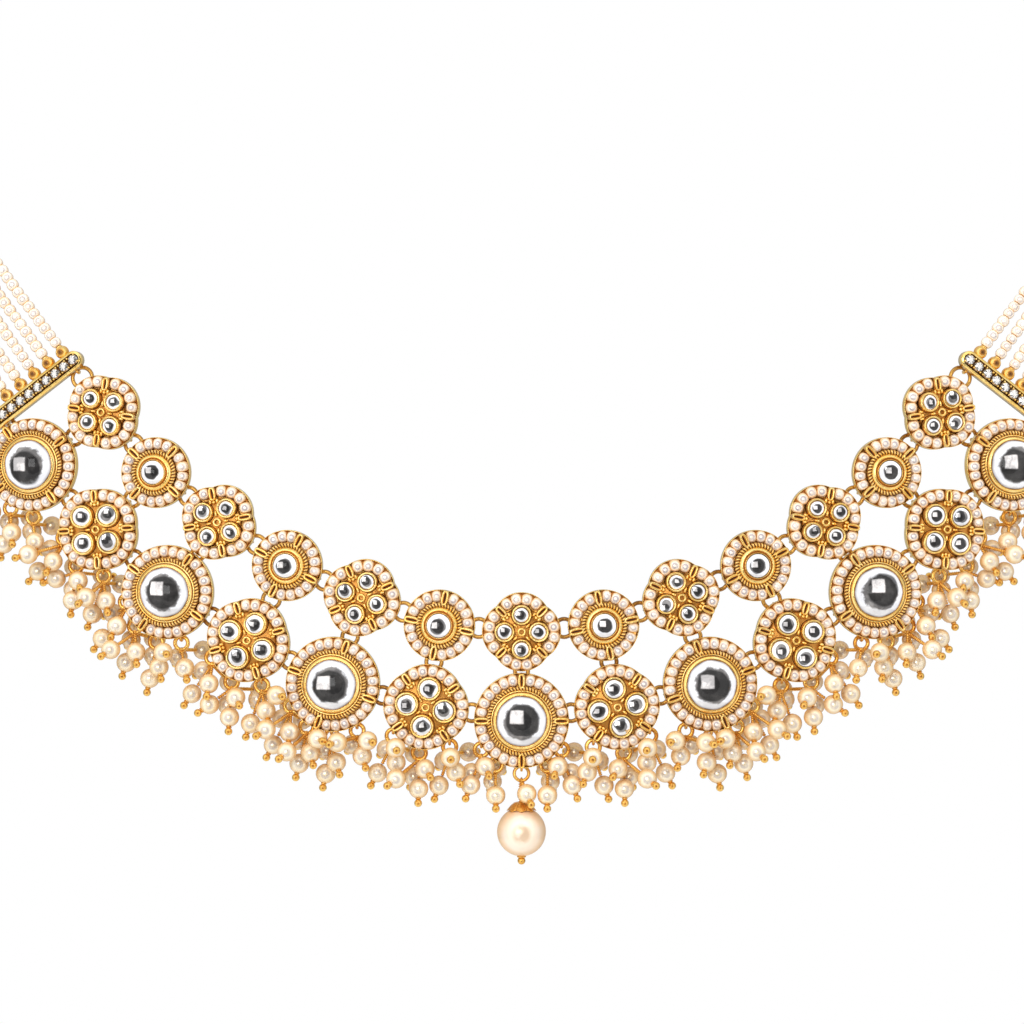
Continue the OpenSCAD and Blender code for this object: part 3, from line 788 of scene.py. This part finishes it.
def make_rows():
    """Each motif's setting and stones, and all their seed beads as one piece."""
    seeds = Shell()
    small = {kind: Shell() for kind in SMALL_STONES}
    for row in ("lower", "upper"):
        for i in range(-LAST, LAST + 1):
            kind = motif_kind(row, i)
            number = i // 2 + 4
            axes, origin = motif_band(row, i)
            axes = axes @ turned(motif_turn(row, i))
            if kind == "big":
                glass = Shell()
                stone(glass, kind, axes, origin)
                glass.piece(f"big_stone_look_{number}", FOIL, "foiled_glass",
                            [f"big_stone_{number}"])
            elif kind == "round":
                stone(small[kind], kind, axes, origin)
            else:
                for a in range(0, 360, 90):
                    cup = origin + axes @ turned(a) @ [CUP_OFFSET[kind], 0, 0]
                    stone(small[kind], kind, axes, cup)
            body = flower_setting(kind) if kind in LOBE else round_setting(kind)
            add_eyes(body, row, i)
            Shell().merge(body, axes, origin).piece(f"{SETTING_NAMES[kind]}_look_{number}", GOLD,
                                                    "gold", [f"{SETTING_NAMES[kind]}_{number}"])
            seed_ring(seeds, kind, math.pi / 4 if kind in LOBE else 0.0, axes, origin)
    seeds.piece("seed_rings", SEED, "seed_beads")
    for kind, name in SMALL_STONES.items():
        small[kind].piece(name + "_look", FOIL, "foiled_glass", [name])


LINK_WIRE, BAR_CLEAR, BAR_EYE_X = 0.42, 12.1, 1.15


def link_place(p, q, start, stop):
    """(axes, middle, radius) of a ring through two eyes, from the free length between them."""
    v = q - p
    gap = np.linalg.norm(v)
    length = gap - start - stop
    axes, origin = band(p + v / gap * (start + length / 2))
    return axes, origin - HOOK_DEPTH * axes[:, 2], length / 2


def add_link(shell, p, q, start, stop):
    """Adds the ring that link_place gives."""
    axes, middle, r = link_place(p, q, start, stop)
    shell.ring((r, LINK_WIRE, 28, 8), axes, middle, tone=rng.uniform())


def make_links():
    """Rings along the rows, between the rows, and from the last motifs to the bars."""
    rows, across = Shell(), Shell()
    for i in range(-LAST, LAST):
        for row in ("lower", "upper"):
            add_link(rows, motif_place(row, i), motif_place(row, i + 1), eye_reach(row, i),
                     eye_reach(row, i + 1))
    for i in range(-LAST, LAST + 1):
        add_link(across, motif_place("lower", i), motif_place("upper", i),
                 eye_reach("lower", i), eye_reach("upper", i))
    for side in (-1, 1):
        out = direction(END_TURN) * [side, 1]
        for row in ("lower", "upper"):
            p = motif_place(row, side * LAST)
            add_link(across, p, p + BAR_CLEAR * out, eye_reach(row, LAST), BAR_EYE_X)
    rows.piece("row_links_look", BRASS, "gold", ["row_links"])
    across.piece("cross_links_look", BRASS, "gold", ["cross_links"])


# Bars and strings of beads

BAR_LENGTH, BAR_WIDTH = 24.6, 3.7
BAR_STONES, BAR_STONE_PITCH = 10, 2.33
STRANDS, BAR_PITCH, CLASP_PITCH, STRAND_START = 6, 3.7, 2.6, 4.4
BEAD_PITCH, BEAD_Z, BEAD_HOLE, THREAD_R = 1.88, 0.8, 0.3, 0.24
END_BEAD_R, END_BEAD_X, OUTER_RING_X, INNER_RING_X = 1.38, 2.9, 4.12, 1.85
# Distance out from a bar's middle line, height and mark, which paints shade in its channel;
# then a brilliant's rows, as radius, height and mark, which paints shade at its foot; then the
# marks of a gold bead, from its back to its front: painted shade on its back and edge, and a
# painted dark reflection on its front
BAR_ROWS = [(0.0, 0.0, 0.2), (1.6, 0.0, 0.1), (1.84, 0.15, 0), (1.86, 1.76, 0), (1.83, 1.88, 0),
            (1.78, 1.92, 0), (1.42, 2.07, 0), (1.35, 2.09, 0), (1.3, 2.02, 0.3), (1.26, 1.65, 1.0),
            (0.0, 1.6, 0.9)]
GEM_ROWS = np.array([(0, 1.7, 0.9), (0.9, 1.75, 0.9), (1.08, 2.1, 0.3), (0.84, 2.42, 0),
                     (0.5, 2.56, 0), (0, 2.56, 0)])
BEAD_PAINTED_LIGHT = np.array([0.5] * 8 + [0.7, 0.4, 0.1, 0, 0.2, 0.85, 0.95, 1])
GEM_SIDES, CLAW_REACH, CLAW_Z = 16, 0.84, 2.3


def bar_frame():
    """(axes, origin) of the right bar, which stands across the ends of both rows."""
    ends = (motif_place("lower", LAST) + motif_place("upper", LAST)) / 2
    axes, origin = band(ends + BAR_CLEAR * direction(END_TURN))
    return axes @ turned(END_TURN), origin


def add_bar_body(shell):
    """A bar with round ends: points on two half circles, carried out from its middle line."""
    half = (BAR_LENGTH - BAR_WIDTH) / 2
    t = around(48, TAU / 96)
    centre = np.stack([t * 0, np.where(np.sin(t) > 0, half, -half)], 1)
    outward = np.stack([np.cos(t), np.sin(t)], 1)
    grid = np.stack([np.concatenate([centre + outward * r, np.full((48, 1), z)], 1)
                     for r, z, _ in BAR_ROWS], 1)
    shell.add(grid, mark=np.array(BAR_ROWS)[:, 2])


def add_bar_gem(gold, gems, y):
    """A brilliant turned at random: every second side is painted bright and the others darker,
    as painted facet reflections, and four claws hold it."""
    facet = around(GEM_SIDES) + rng.uniform(0, TAU)
    r, z, deep = GEM_ROWS.T
    gem = polar(r, facet[:, None], z)
    bright = np.arange(GEM_SIDES) % 2 == 0
    painted_facet_light = np.where(bright, 1.0, rng.uniform(0.0, 0.45, GEM_SIDES))
    tone = np.repeat(painted_facet_light[:, None], len(z), 1)
    tone[:, -1] = 0.8
    gems.add(gem + [0, y, 0], mark=deep, tone=tone)
    for sx in (-1, 1):
        for sy in (-1, 1):
            gold.add(at(ball(0.24, 8, 6, 1.6),
                        origin=(sx * CLAW_REACH, y + sy * CLAW_REACH, CLAW_Z)))


def make_bars():
    """Both bars: body, brilliants with claws, a gold bead for each string, and two eyes."""
    gold, gems = Shell(), Shell()
    add_bar_body(gold)
    for k in range(BAR_STONES):
        add_bar_gem(gold, gems, (k - (BAR_STONES - 1) / 2) * BAR_STONE_PITCH)
    along = axes_along((1.0, 0, 0))
    for k in range(STRANDS):
        y = (k - (STRANDS - 1) / 2) * BAR_PITCH
        gold.add(at(ball(END_BEAD_R, 20, 16), origin=(END_BEAD_X, y, BEAD_Z)), mark=BEAD_PAINTED_LIGHT)
        gold.ring((0.55, 0.22, 16, 6), along, (OUTER_RING_X, y, BEAD_Z), 0.2)
        gold.ring((0.7, 0.25, 16, 6), along, (INNER_RING_X, y, BEAD_Z), 0.4)
    foot = (motif_place("lower", LAST) - motif_place("upper", LAST)) / 2
    x, y = foot @ direction(END_TURN), foot @ direction(END_TURN + 90)
    for s in (1, -1):
        gold.ring(EYE, UPRIGHT, (s * x - BAR_EYE_X, s * y, -HOOK_DEPTH), 0.25)
    axes, origin = bar_frame()
    for word, m in (("right", np.eye(3)), ("left", MIRROR)):
        Shell().merge(gold, m @ axes, m @ origin).piece(f"bar_{word}_look", GOLD, "gold",
                                                        [f"bar_{word}"])
        Shell().merge(gems, m @ axes, m @ origin).piece(f"bar_{word}_gems", GEM, "foiled_glass",
                                                        flat=True)


def strand_line(k):
    """Smooth line of the right side's string k, from the bar round to the clasp: between two
    knots it is the cubic that takes its slope at each from the knots on either side. The
    strings fan out from the knots, across their way."""
    axes, origin = bar_frame()
    knots = np.array([origin + STRAND_START * axes[:, 0] + BEAD_Z * axes[:, 2],
                      [112.6, -72.6, -84.4], [121.5, -69, -70], [128, -59, -46], [125, -45, -20],
                      [109, -31, 1], [82, -18, 6], [52, -7, 6], [26, -1, 0], [8.3, 1.6, 0]])
    spans = len(knots) - 1
    t = (np.arange(spans + 1) / spans)[:, None]
    fan = (1 - t) * BAR_PITCH * -axes[:, 1] + t * CLASP_PITCH * np.array([0, 0, -1.0])
    way = unit(np.concatenate([knots[1:], knots[-1:]]) - np.concatenate([knots[:1], knots[:-1]]))
    spread = fan - (fan * way).sum(1, keepdims=True) * way
    spread *= (np.linalg.norm(fan, axis=1) / np.linalg.norm(spread, axis=1))[:, None]
    p = knots + (k - (STRANDS + 1) / 2) * spread
    p = np.concatenate([[2 * p[0] - p[1]], p, [2 * p[-1] - p[-2]]])
    u = np.linspace(0, 1, 40, endpoint=False)[None, :, None]
    a, b, c, d = (p[j:j + spans, None] for j in range(4))
    line = (2 * b + (c - a) * u + (2 * a - 5 * b + 4 * c - d) * u ** 2
            + (3 * b - a - 3 * c + d) * u ** 3) / 2
    return np.concatenate([line.reshape(-1, 3), p[-2:-1]])


def make_strings():
    """Strings of beads, each with its thread: beads at one pitch, a little uneven."""
    for k in range(1, STRANDS + 1):
        line = strand_line(k)
        along = distances(line)
        count = int(along[-1] // BEAD_PITCH)
        pitch = along[-1] / count
        s = (np.arange(count) + 0.5) * pitch
        place = walk(line, along, s)
        axes = axes_along(walk(line, along, s + 0.2) - place)
        for word, m in (("right", np.eye(3)), ("left", MIRROR)):
            scale = 1 + rng.normal(0, 0.03, (count, 1, 1))
            spot = place + rng.normal(0, 0.03, place.shape)
            bead = seed_bead(pitch * 1.02, STRING_R, BEAD_HOLE)
            shell = Shell().copies(bead, m @ (axes * scale) @ m, spot @ m, STRING_R)
            shell.piece(f"string_{word}_{k}", STRING, "seed_beads", [f"strand_{word}_{k}"])
            thread = Shell().add(tube(line[::12] @ m, THREAD_R, 6), close_u=False, close_v=True)
            thread.piece(f"thread_{word}_{k}", THREAD, "seed_beads")


# Pearl fringe

JUMP_R, FRINGE_DEPTH = 1.35, 2.35
PEARL_R, END_BALL_R, BALL_GAP = 2.0, 0.8, 0.1
PEARL_BORE, PIN_LOOP, WRAP_PITCH = 0.34, 0.5, 0.42
HANG_BASE, HANG_EXTRA, HANG_PUSH, HANG_LEAN = 4.9, 0.6, 2.8, 0.1
DROP_HINGE = np.array([0.0, HOOK_DEPTH, HANG_INSET - REACH["big"]]) - NAPE
DROP_PEARL_Z, DROP_PEARL_R = -13.1, 4.9
# A pearl is set by (side, down, depth) from its usual place below its ring
LOW_FRONT = [(-1.3, 0.8, FRINGE_DEPTH), (1.3, -1.2, -FRINGE_DEPTH)]
HIGH_FRONT = [(-1.3, -1.2, FRINGE_DEPTH), (1.3, 0.8, -FRINGE_DEPTH)]
BESIDE_DROP = [(0.6, -0.6, -FRINGE_DEPTH), (-0.2, 1.7, FRINGE_DEPTH)]
LOWEST = [(1.2, 3.3, 0.0)]
# Pearls that only this script adds, in the gaps between those of the CAD model
OUTER_MORE, LOW_MORE = [(2.0, 4.0, 0.0)], [(2.4, 3.5, 0.0)]
HIGH_MORE, BESIDE_MORE = [(0.0, 2.9, 1.2)], [(1.2, 2.9, 1.2)]
BIG_SET = [(-50, LOW_FRONT), (-17, LOW_FRONT + LOWEST), (17, LOW_FRONT + LOWEST),
           (50, LOW_FRONT + OUTER_MORE)]
FLOWER_SET = [(-45, LOW_FRONT + LOW_MORE), (0, HIGH_FRONT + HIGH_MORE),
              (45, LOW_FRONT + LOW_MORE)]
CENTRE_SET = [(34, BESIDE_DROP), (60, HIGH_FRONT + BESIDE_MORE)]


def hang_set(i):
    """(bearing, pearls) of each of motif i's rings."""
    if i == 0:
        return CENTRE_SET
    return BIG_SET if i % 2 == 0 else FLOWER_SET


def hang_reach(i):
    """Distance of the fringe's eyes from the middle of motif i."""
    return (REACH["big"] if i % 2 == 0 else FLOWER_HANG_REACH) - HANG_INSET


def pearl_place(i, angle, pearl):
    """(upper end of the pin, middle of the pearl) in motif i's level axes. The usual place is
    below the ring, and further out where the ring hangs at the side. The pearl's side and down
    are measured in directions that lean a little with the ring's bearing."""
    side, down, depth = pearl
    w = math.radians(abs(motif_turn("lower", i)) + angle)
    lean = w * HANG_LEAN
    out = np.array([math.sin(w), -math.cos(w)])
    eye = hang_reach(i) * out
    flat = (eye - [0, HANG_BASE + HANG_EXTRA * math.cos(w)]
            + HANG_PUSH * (1 - math.cos(w)) ** 2 * out
            + down * np.array([math.sin(lean), -math.cos(lean)])
            + side * np.array([math.cos(lean), math.sin(lean)]))
    foot = np.array([eye[0], eye[1] - 2 * JUMP_R, -HOOK_DEPTH])
    return foot, np.array([flat[0], flat[1], depth - HOOK_DEPTH])


def segment_gap(a, b, c):
    """Distance from c to the segment from a to b, for whole arrays of them: c's foot on the
    line, kept between the two ends."""
    ab = b - a
    t = np.clip(((c - a) * ab).sum(-1) / (ab * ab).sum(-1), 0, 1)
    return np.linalg.norm(a + t[..., None] * ab - c, axis=-1)


# Least distance of an added pearl's middle from another's, from a plate, from the middle line of
# a ring and of a pin, from the drop at any angle, and from the plane between the two halves
PEARL_GAP, PLATE_GAP, RING_GAP, PIN_GAP, DROP_GAP, MIDDLE_GAP = 4.12, 2.12, 2.5, 2.36, 2.2, 2.06
PLATE_TOP, CAP_R, CAP_FROM, CAP_TO, NECK_R = 3.3, 3.1, 7.1, 9.1, 1.1


class Fringe:
    """What hangs or stands in a new pearl's way, on both sides of the middle: pearls, pins as
    pairs of ends, rings as (middle, axis, radius), and plates as (outline, axes, middle)."""

    def __init__(self):
        self.pearls, self.pins, self.rings, self.plates = [], [], [], []
        for i in range(LAST + 1):
            axes, origin = motif_band("lower", i)
            for angle, pearls in hang_set(i):
                for pearl in pearls:
                    self.hang(*self.ends(i, angle, pearl))
                foot = pearl_place(i, angle, pearls[0])[0]
                middle = origin + axes @ (foot + [0, JUMP_R, 0])
                self.rings += [(middle, axes[:, 2], JUMP_R),
                               (MIRROR @ middle, MIRROR @ axes[:, 2], JUMP_R)]
        for i in range(-LAST, LAST):
            axes, middle, r = link_place(motif_place("lower", i), motif_place("lower", i + 1),
                                         eye_reach("lower", i), eye_reach("lower", i + 1))
            self.rings.append((middle, axes[:, 2], r))
        for i in range(-LAST, LAST + 1):
            axes, origin = motif_band("lower", i)
            self.plates.append((outline_of(motif_kind("lower", i)),
                                axes @ turned(motif_turn("lower", i)), origin))

    @staticmethod
    def ends(i, angle, pearl):
        """The pin's upper end and the pearl's middle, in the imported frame."""
        axes, origin = motif_band("lower", i)
        return [origin + axes @ p for p in pearl_place(i, angle, pearl)]

    def hang(self, foot, spot):
        """Adds a pearl and its pin, and their mirror images."""
        for m in (np.eye(3), MIRROR):
            self.pearls.append(m @ spot)
            self.pins.append((m @ foot, m @ spot))

    def clear(self, foot, spot):
        """True where a pearl and its pin pass everything, the drop's whole swing too."""
        pearls = np.array(self.pearls)
        heads, tails = np.array(self.pins).transpose(1, 0, 2)
        if np.linalg.norm(pearls - spot, axis=1).min() < PEARL_GAP:
            return False
        if segment_gap(heads, tails, spot).min() < PIN_GAP:
            return False
        if segment_gap(foot, spot, pearls).min() < PIN_GAP:
            return False
        for outline, axes, middle in self.plates:
            x, y, z = (spot - middle) @ axes
            beyond = max(math.hypot(x, y) - outline(math.atan2(y, x)), 0)
            if math.hypot(beyond, max(-z, z - PLATE_TOP, 0)) < PLATE_GAP:
                return False
        for middle, axis, r in self.rings:
            height = (spot - middle) @ axis
            across = np.linalg.norm(spot - middle - height * axis) - r
            if math.hypot(across, height) < RING_GAP:
                return False
        return spot[0] >= MIDDLE_GAP and drop_distance(spot) >= DROP_GAP


def drop_distance(spot):
    """Least distance to the drop at any angle: to the rings that its pearl and its cap sweep
    about the hinge, and to the disc that its neck sweeps above the cap."""
    x, swing = abs(spot[0]), math.hypot(*(spot - DROP_HINGE)[1:])
    to_pearl = math.hypot(x, swing + DROP_PEARL_Z) - DROP_PEARL_R - 0.1
    to_cap = math.hypot(max(x - CAP_R, 0), max(CAP_FROM - swing, swing - CAP_TO, 0))
    to_neck = max(x - NECK_R, 0) if swing < 8 else to_pearl
    return min(to_pearl, to_cap, to_neck)


class Ground:
    """The ground below the lower settings as seen from the front, on a grid of x and z: how
    much each of its points asks for a pearl. That is 1 at a setting's edge and falls off to the
    given width, and is nothing once a pearl covers the point."""
    STEP, SPAN_X, SPAN_Z = 0.25, (-4, 105), (-26, 80)
    WIDTH, FALL = 8.6, 0.05

    def __init__(self):
        self.x = np.arange(*self.SPAN_X, self.STEP)
        self.z = np.arange(*self.SPAN_Z, self.STEP) - NAPE[2]
        gx, gz = np.meshgrid(self.x, self.z)
        self.need = np.zeros(gx.shape)
        places = np.array([motif_place("lower", i) for i in range(LAST + 1)])
        closed = gz > np.interp(self.x, places[:, 0], places[:, 1] - NAPE[2])
        for i, place in enumerate(places):
            axes, (x, _, z) = band(place)
            away = np.hypot((gx - x) / axes[0, 0], gz - z) - REACH[motif_kind("lower", i)]
            near = (gz < z - 1) & (away < self.WIDTH)
            self.need = np.maximum(self.need, np.where(near, 1 - self.FALL * away, 0))
            closed |= away < 0
        self.need[closed] = 0

    def under(self, spot):
        """(the part of the grid round a pearl, which of its points the pearl covers)."""
        part = np.ix_(abs(self.z - spot[2]) < PEARL_R + 0.1, abs(self.x - spot[0]) < PEARL_R + 0.1)
        z, x = self.z[part[0]] - spot[2], self.x[part[1]] - spot[0]
        return part, x ** 2 + z ** 2 < PEARL_R ** 2

    def gain(self, spot):
        """Need that a pearl would meet, as a share of its own disc."""
        part, disc = self.under(spot)
        return self.need[part][disc].sum() * self.STEP ** 2 / (math.pi * PEARL_R ** 2)

    def cover(self, spot):
        """Takes away the need under a pearl."""
        part, disc = self.under(spot)
        self.need[part] *= ~disc


LAYER_SIDES = np.linspace(-4.2, 4.2, 15).round(1)
LAYER_DOWNS = np.linspace(-2.4, 4.2, 12).round(1)
LAYER_DEPTHS = (-7.0, -5.6, 0.0, 1.2, 5.6, 6.4, 7.0)
LAYER_COUNT, LAYERS_PER_RING, LEAST_GAIN, PIN_LENGTHS = 30, 2, 0.3, (3.4, 10.5)
DEPTH_COST, DOWN_COST = 0.012, 0.02


def find_layers():
    """Pearls that only this script adds, in layers before and behind the others, listed by
    motif and bearing of their ring. The next is always the one that covers most open ground,
    less a little for its depth and its drop. Gains only fall as pearls are added, so an old
    gain serves until it is the largest, and is then worked out again."""
    fringe, ground = Fringe(), Ground()
    for spot in fringe.pearls:
        ground.cover(spot)
    tries = [((i, angle), (side, down, depth), *fringe.ends(i, angle, (side, down, depth)))
             for i in range(LAST + 1) for angle, _ in hang_set(i)
             for side in LAYER_SIDES for down in LAYER_DOWNS for depth in LAYER_DEPTHS]
    cost = np.array([DEPTH_COST * abs(depth) + DOWN_COST * max(down, 0)
                     for _, (_, down, depth), _, _ in tries])
    length = np.array([np.linalg.norm(spot - foot) for _, _, foot, spot in tries])
    gain = np.array([ground.gain(spot) for _, _, _, spot in tries]) - cost
    gain[(length < PIN_LENGTHS[0]) | (length > PIN_LENGTHS[1])] = 0
    layers, count = {}, 0
    while count < LAYER_COUNT and gain.max() > LEAST_GAIN:
        n = gain.argmax()
        ring, pearl, foot, spot = tries[n]
        now = ground.gain(spot) - cost[n]
        if now < gain[n]:
            gain[n] = now
            continue
        gain[n] = 0
        if len(layers.get(ring, [])) < LAYERS_PER_RING and fringe.clear(foot, spot):
            fringe.hang(foot, spot)
            ground.cover(spot)
            layers.setdefault(ring, []).append(pearl)
            count += 1
    return layers


def add_wrap(shell, turns, samples, r, swell, start, stop, n):
    """Wire wrapped round z between two heights: the radius swells as a cosine with each turn,
    and painted shade darkens the grooves between the turns. There are so many samples a turn, and
    n round."""
    t = np.linspace(0, 1, turns * samples + 1)
    wave = np.cos(t * turns * TAU + math.pi)
    rows = np.stack([r + swell * wave, start + t * (stop - start),
                     smoothstep(-wave, -0.2, 0.8) * 0.8], 1)
    shell.turn([(0, start, 0.8), *rows, (0, stop, 0.8)], n)


def wrapped_pin(length, axes):
    """Pin along z: an open loop on the ring's wire, wire wrapped below it, and under the pearl
    a flange with painted shade, and a round end with a painted dark reflection where the axes turn
    it to the front."""
    shell = Shell()
    shell.ring((PIN_LOOP, 0.15, 12, 5), axes_along((1.0, 0, 0)), (0, 0, 0.05), 0.2)
    stop = length - PEARL_R - 0.05
    turns = max(3, int((stop - PIN_LOOP) / WRAP_PITCH))
    add_wrap(shell, turns, 4, 0.33, 0.09, PIN_LOOP, stop, 7)
    z = length + PEARL_R - 0.1
    shell.turn([(0, z, 0.6), (0.5, z, 0.6), (0.62, z + 0.14, 0.2), (0.5, z + 0.28, 0.5),
                (0, z + 0.28, 0.6)], 10)
    end = ball(END_BALL_R, 14, 10)
    # painted reflection: the end turns dark where it faces the front
    ahead = end @ axes.T @ FRONT / END_BALL_R
    shell.add(at(end, origin=(0, 0, length + PEARL_R + END_BALL_R + BALL_GAP)),
              mark=smoothstep(ahead, 0.84, 0.97) * 0.95, tone=1.4)
    return shell


def pearl(r, bore, n, m):
    """A drilled pearl about z: a ball whose poles dip into the drill hole, with painted shade in
    the dips.
    """
    t = np.linspace(-1, 1, m) * math.acos(bore / r)
    x, z = r * np.cos(t), r * np.sin(t)
    return Shell().turn([(0, z[0] + 0.25, 1), *zip(x, z, z * 0), (0, z[-1] - 0.25, 1)], n)


def small_pearls(axes, middles):
    """Fringe pearls, drilled along z of their axes."""
    return Shell().copies(pearl(PEARL_R - 0.02, PEARL_BORE, 18, 11), axes, middles, PEARL_R)


def make_fringe():
    """Jump rings, wrapped pins and pearls of each side, the added layers among them."""
    layers = find_layers()
    for side, word in ((1, "right"), (-1, "left")):
        wires, middles, turns = Shell(), [], []
        for i in range(LAST + 1):
            axes, origin = motif_band("lower", side * i)
            axes = axes @ np.diag([side, 1.0, 1.0])
            for angle, pearls in hang_set(i):
                places = [pearl_place(i, angle, p) for p in pearls + layers.get((i, angle), [])]
                middle = places[0][0] + [0, JUMP_R, 0]
                wires.ring((JUMP_R, LINK_WIRE, 26, 8), axes, origin + axes @ middle,
                           tone=rng.uniform())
                for foot, spot in places:
                    way = axes @ (spot - foot)
                    own = axes_along(way, axes[:, 0] * side)
                    wires.merge(wrapped_pin(np.linalg.norm(way), own), own, origin + axes @ foot)
                    middles.append(origin + axes @ spot)
                    turns.append(own)
        size = 1 + rng.normal(0, 0.012, (len(middles), 1, 1))
        skins = small_pearls(np.array(turns) * size, np.array(middles))
        wires.piece(f"fringe_wires_{word}", GOLD_WIRE, "gold", [f"drop_wires_{word}"])
        skins.piece(f"fringe_pearls_{word}", PEARL, "pearl", [f"pearls_{word}"])


# Centre drop

# A small pearl that only this script adds: it hangs from the drop's own ring, before the neck
DROP_EYE, DROP_SMALL = np.array([0.0, 0.0, -2.9]), np.array([1.05, -2.4, -5.3])
# Radius, height and reach of the petals' scallops, across the cap
CAP_ROWS = np.array([(0.0, -7.1, 0), (0.9, -7.12, 0), (1.55, -7.34, 0.02), (2.1, -7.78, 0.04),
                     (2.6, -8.34, 0.06), (2.92, -8.78, 0.09), (3.0, -8.88, 0.1),
                     (2.86, -8.92, 0.1), (2.3, -8.62, 0), (1.2, -8.26, 0), (0.0, -8.16, 0)])
PETALS = 8


def add_cap(shell):
    """Petalled cap: its profile is carried round z, and pulled in and up between the petals by
    a cosine, where shade is painted in the creases. The whole cap is marked at least 0.35, which
    browns it."""
    phi = around(64)[:, None]
    r, z, reach = CAP_ROWS.T
    between = 0.5 - 0.5 * np.cos(PETALS * phi)
    grid = polar(r * (1 - reach * between * 1.2), phi, z + between * reach * 2.2)
    crease_shade = between ** 3 * smoothstep(r, 0.8, 1.6) * 0.9
    shell.add(grid, mark=np.maximum(crease_shade, 0.35))


def make_centre_drop():
    """Jump ring, wrapped neck, petalled cap, big pearl and end ball, down from the hinge."""
    gold = Shell()
    gold.ring((1.45, 0.34, 32, 10), UPRIGHT, (0, 0, -1.45))
    gold.ring((0.62, 0.2, 20, 8), axes_along((1.0, 0, 0)), (0, 0, -3.0), 0.2)
    add_wrap(gold, 9, 6, 0.5, 0.11, -3.4, -7.3, 16)
    add_cap(gold)
    way = DROP_SMALL - DROP_EYE
    own = axes_along(way, (1.0, 0.0, 0.0))
    gold.merge(wrapped_pin(np.linalg.norm(way), own), own, DROP_EYE)
    z = DROP_PEARL_Z - DROP_PEARL_R - END_BALL_R - BALL_GAP
    gold.turn([(0, z + 1.05, 0.2), (0.85, z + 1.0, 0.2), (0.95, z + 0.82, 0.2),
               (0.8, z + 0.62, 0.2), (0, z + 0.6, 0.2)], 18)
    gold.add(at(ball(END_BALL_R, 18, 12), origin=(0, 0, z)))
    Shell().merge(gold, None, DROP_HINGE).piece("centre_drop_gold", GOLD_WIRE, "gold",
                                                ["centre_drop_wire"], body="centre_drop")
    small = small_pearls(own[None], (DROP_HINGE + DROP_SMALL)[None])
    small.piece("centre_drop_small_pearl", PEARL, "pearl", body="centre_drop")
    skin = Shell().copies(pearl(DROP_PEARL_R, 0.5, 56, 30), np.eye(3)[None],
                          (DROP_HINGE + [0, 0, DROP_PEARL_Z])[None], DROP_PEARL_R)
    skin.piece("centre_drop_pearl", BIG_PEARL, "pearl", ["centre_pearl"], body="centre_drop")


# Stage, light and camera

def make_world():
    """A dark round field in front with a square soft light in it, a bright ring round the
    field, and dimmer sides and back, a little brighter above. A direction's two slopes,
    sideways and up over forward, say where it meets the field. The camera sees plain white."""
    world = bpy.data.worlds.new("studio")
    world.use_nodes = True
    bpy.context.scene.world = world
    make = Maker(world.node_tree)
    x, y, z = make.split(make.node("ShaderNodeTexCoord", out=0))
    forward = y * -1.0

    def cone(outer, inner):
        """1 within the inner angle of the front, 0 beyond the outer one, in degrees."""
        return make.ramp(forward, math.cos(math.radians(outer)), math.cos(math.radians(inner)))

    def strip(slope, middle):
        """1 where a slope is near its middle."""
        return 1 - make.ramp((slope - middle).size(), 0.2, 0.25)

    ahead = forward.most(0.001)
    field, ring = cone(33, 29), cone(76, 60)
    box = strip(x / ahead, -0.2) * strip(z / ahead, 0.14) * field
    around_it = 0.55 + ring * 0.75 + z * 0.2
    light = around_it * (1 - field) + field * 0.21 + box * 4.3
    seen = make.node("ShaderNodeLightPath", out=0)
    back = make.node("ShaderNodeBackground", None,
                     {"Color": (1, 1, 1, 1), "Strength": light * (1 - seen) + seen})
    make.node("ShaderNodeOutputWorld", None, {"Surface": back})


FLOOR_R, FLOOR_Z = 300, -312
FOCAL_PIXELS, PICTURE_PIXELS, SENSOR = 2875, 1024, 36.0


def make_stage():
    """A pale round floor below the necklace, a key light and the camera."""
    m, make = new_finish("pale_floor")
    cloud = noise(make, 6.0, 2.0)
    surface(make, {"Base Color": make.mix(cloud, rgb(236, 234, 231), rgb(243, 241, 238)),
                   "Roughness": 0.7})
    disc = turned_body([(0, FLOOR_Z), (FLOOR_R, FLOOR_Z), (FLOOR_R + 2, FLOOR_Z - 2),
                        (FLOOR_R, FLOOR_Z - 4), (0, FLOOR_Z - 4)], 96)
    floor = Shell().add(disc + [0, -45, 0])
    mesh = bpy.data.meshes.new("floor")
    mesh.from_pydata((floor.points[0] * MM).tolist(), [], floor.faces[0].tolist())
    mesh.materials.append(m)
    add_to_scene(bpy.data.objects.new("floor", mesh))
    lamp = bpy.data.lights.new("key", "AREA")
    lamp.shape, lamp.size, lamp.energy = "SQUARE", 0.5, 4.0
    key = add_to_scene(bpy.data.objects.new("key", lamp))
    key.location = (-0.35, -0.75, 0.4)
    key.rotation_mode = "QUATERNION"
    key.rotation_quaternion = (Vector((0, -0.08, -0.13)) - key.location).to_track_quat("-Z", "Y")
    key.visible_glossy = False
    data = bpy.data.cameras.new("camera")
    data.sensor_width, data.lens = SENSOR, SENSOR * FOCAL_PIXELS / PICTURE_PIXELS
    data.clip_start, data.clip_end = 0.01, 20.0
    camera = add_to_scene(bpy.data.objects.new("camera", data))
    camera.location = CAMERA_AT * MM
    camera.rotation_euler = (math.radians(90), 0, 0)
    bpy.context.scene.camera = camera


make_rows()
make_links()
make_bars()
make_strings()
make_fringe()
make_centre_drop()
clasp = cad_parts["clasp"]
clasp.data.materials.clear()
clasp.data.materials.append(CLASP)
make_world()
make_stage()
bpy.context.scene.view_settings.view_transform = "Standard"
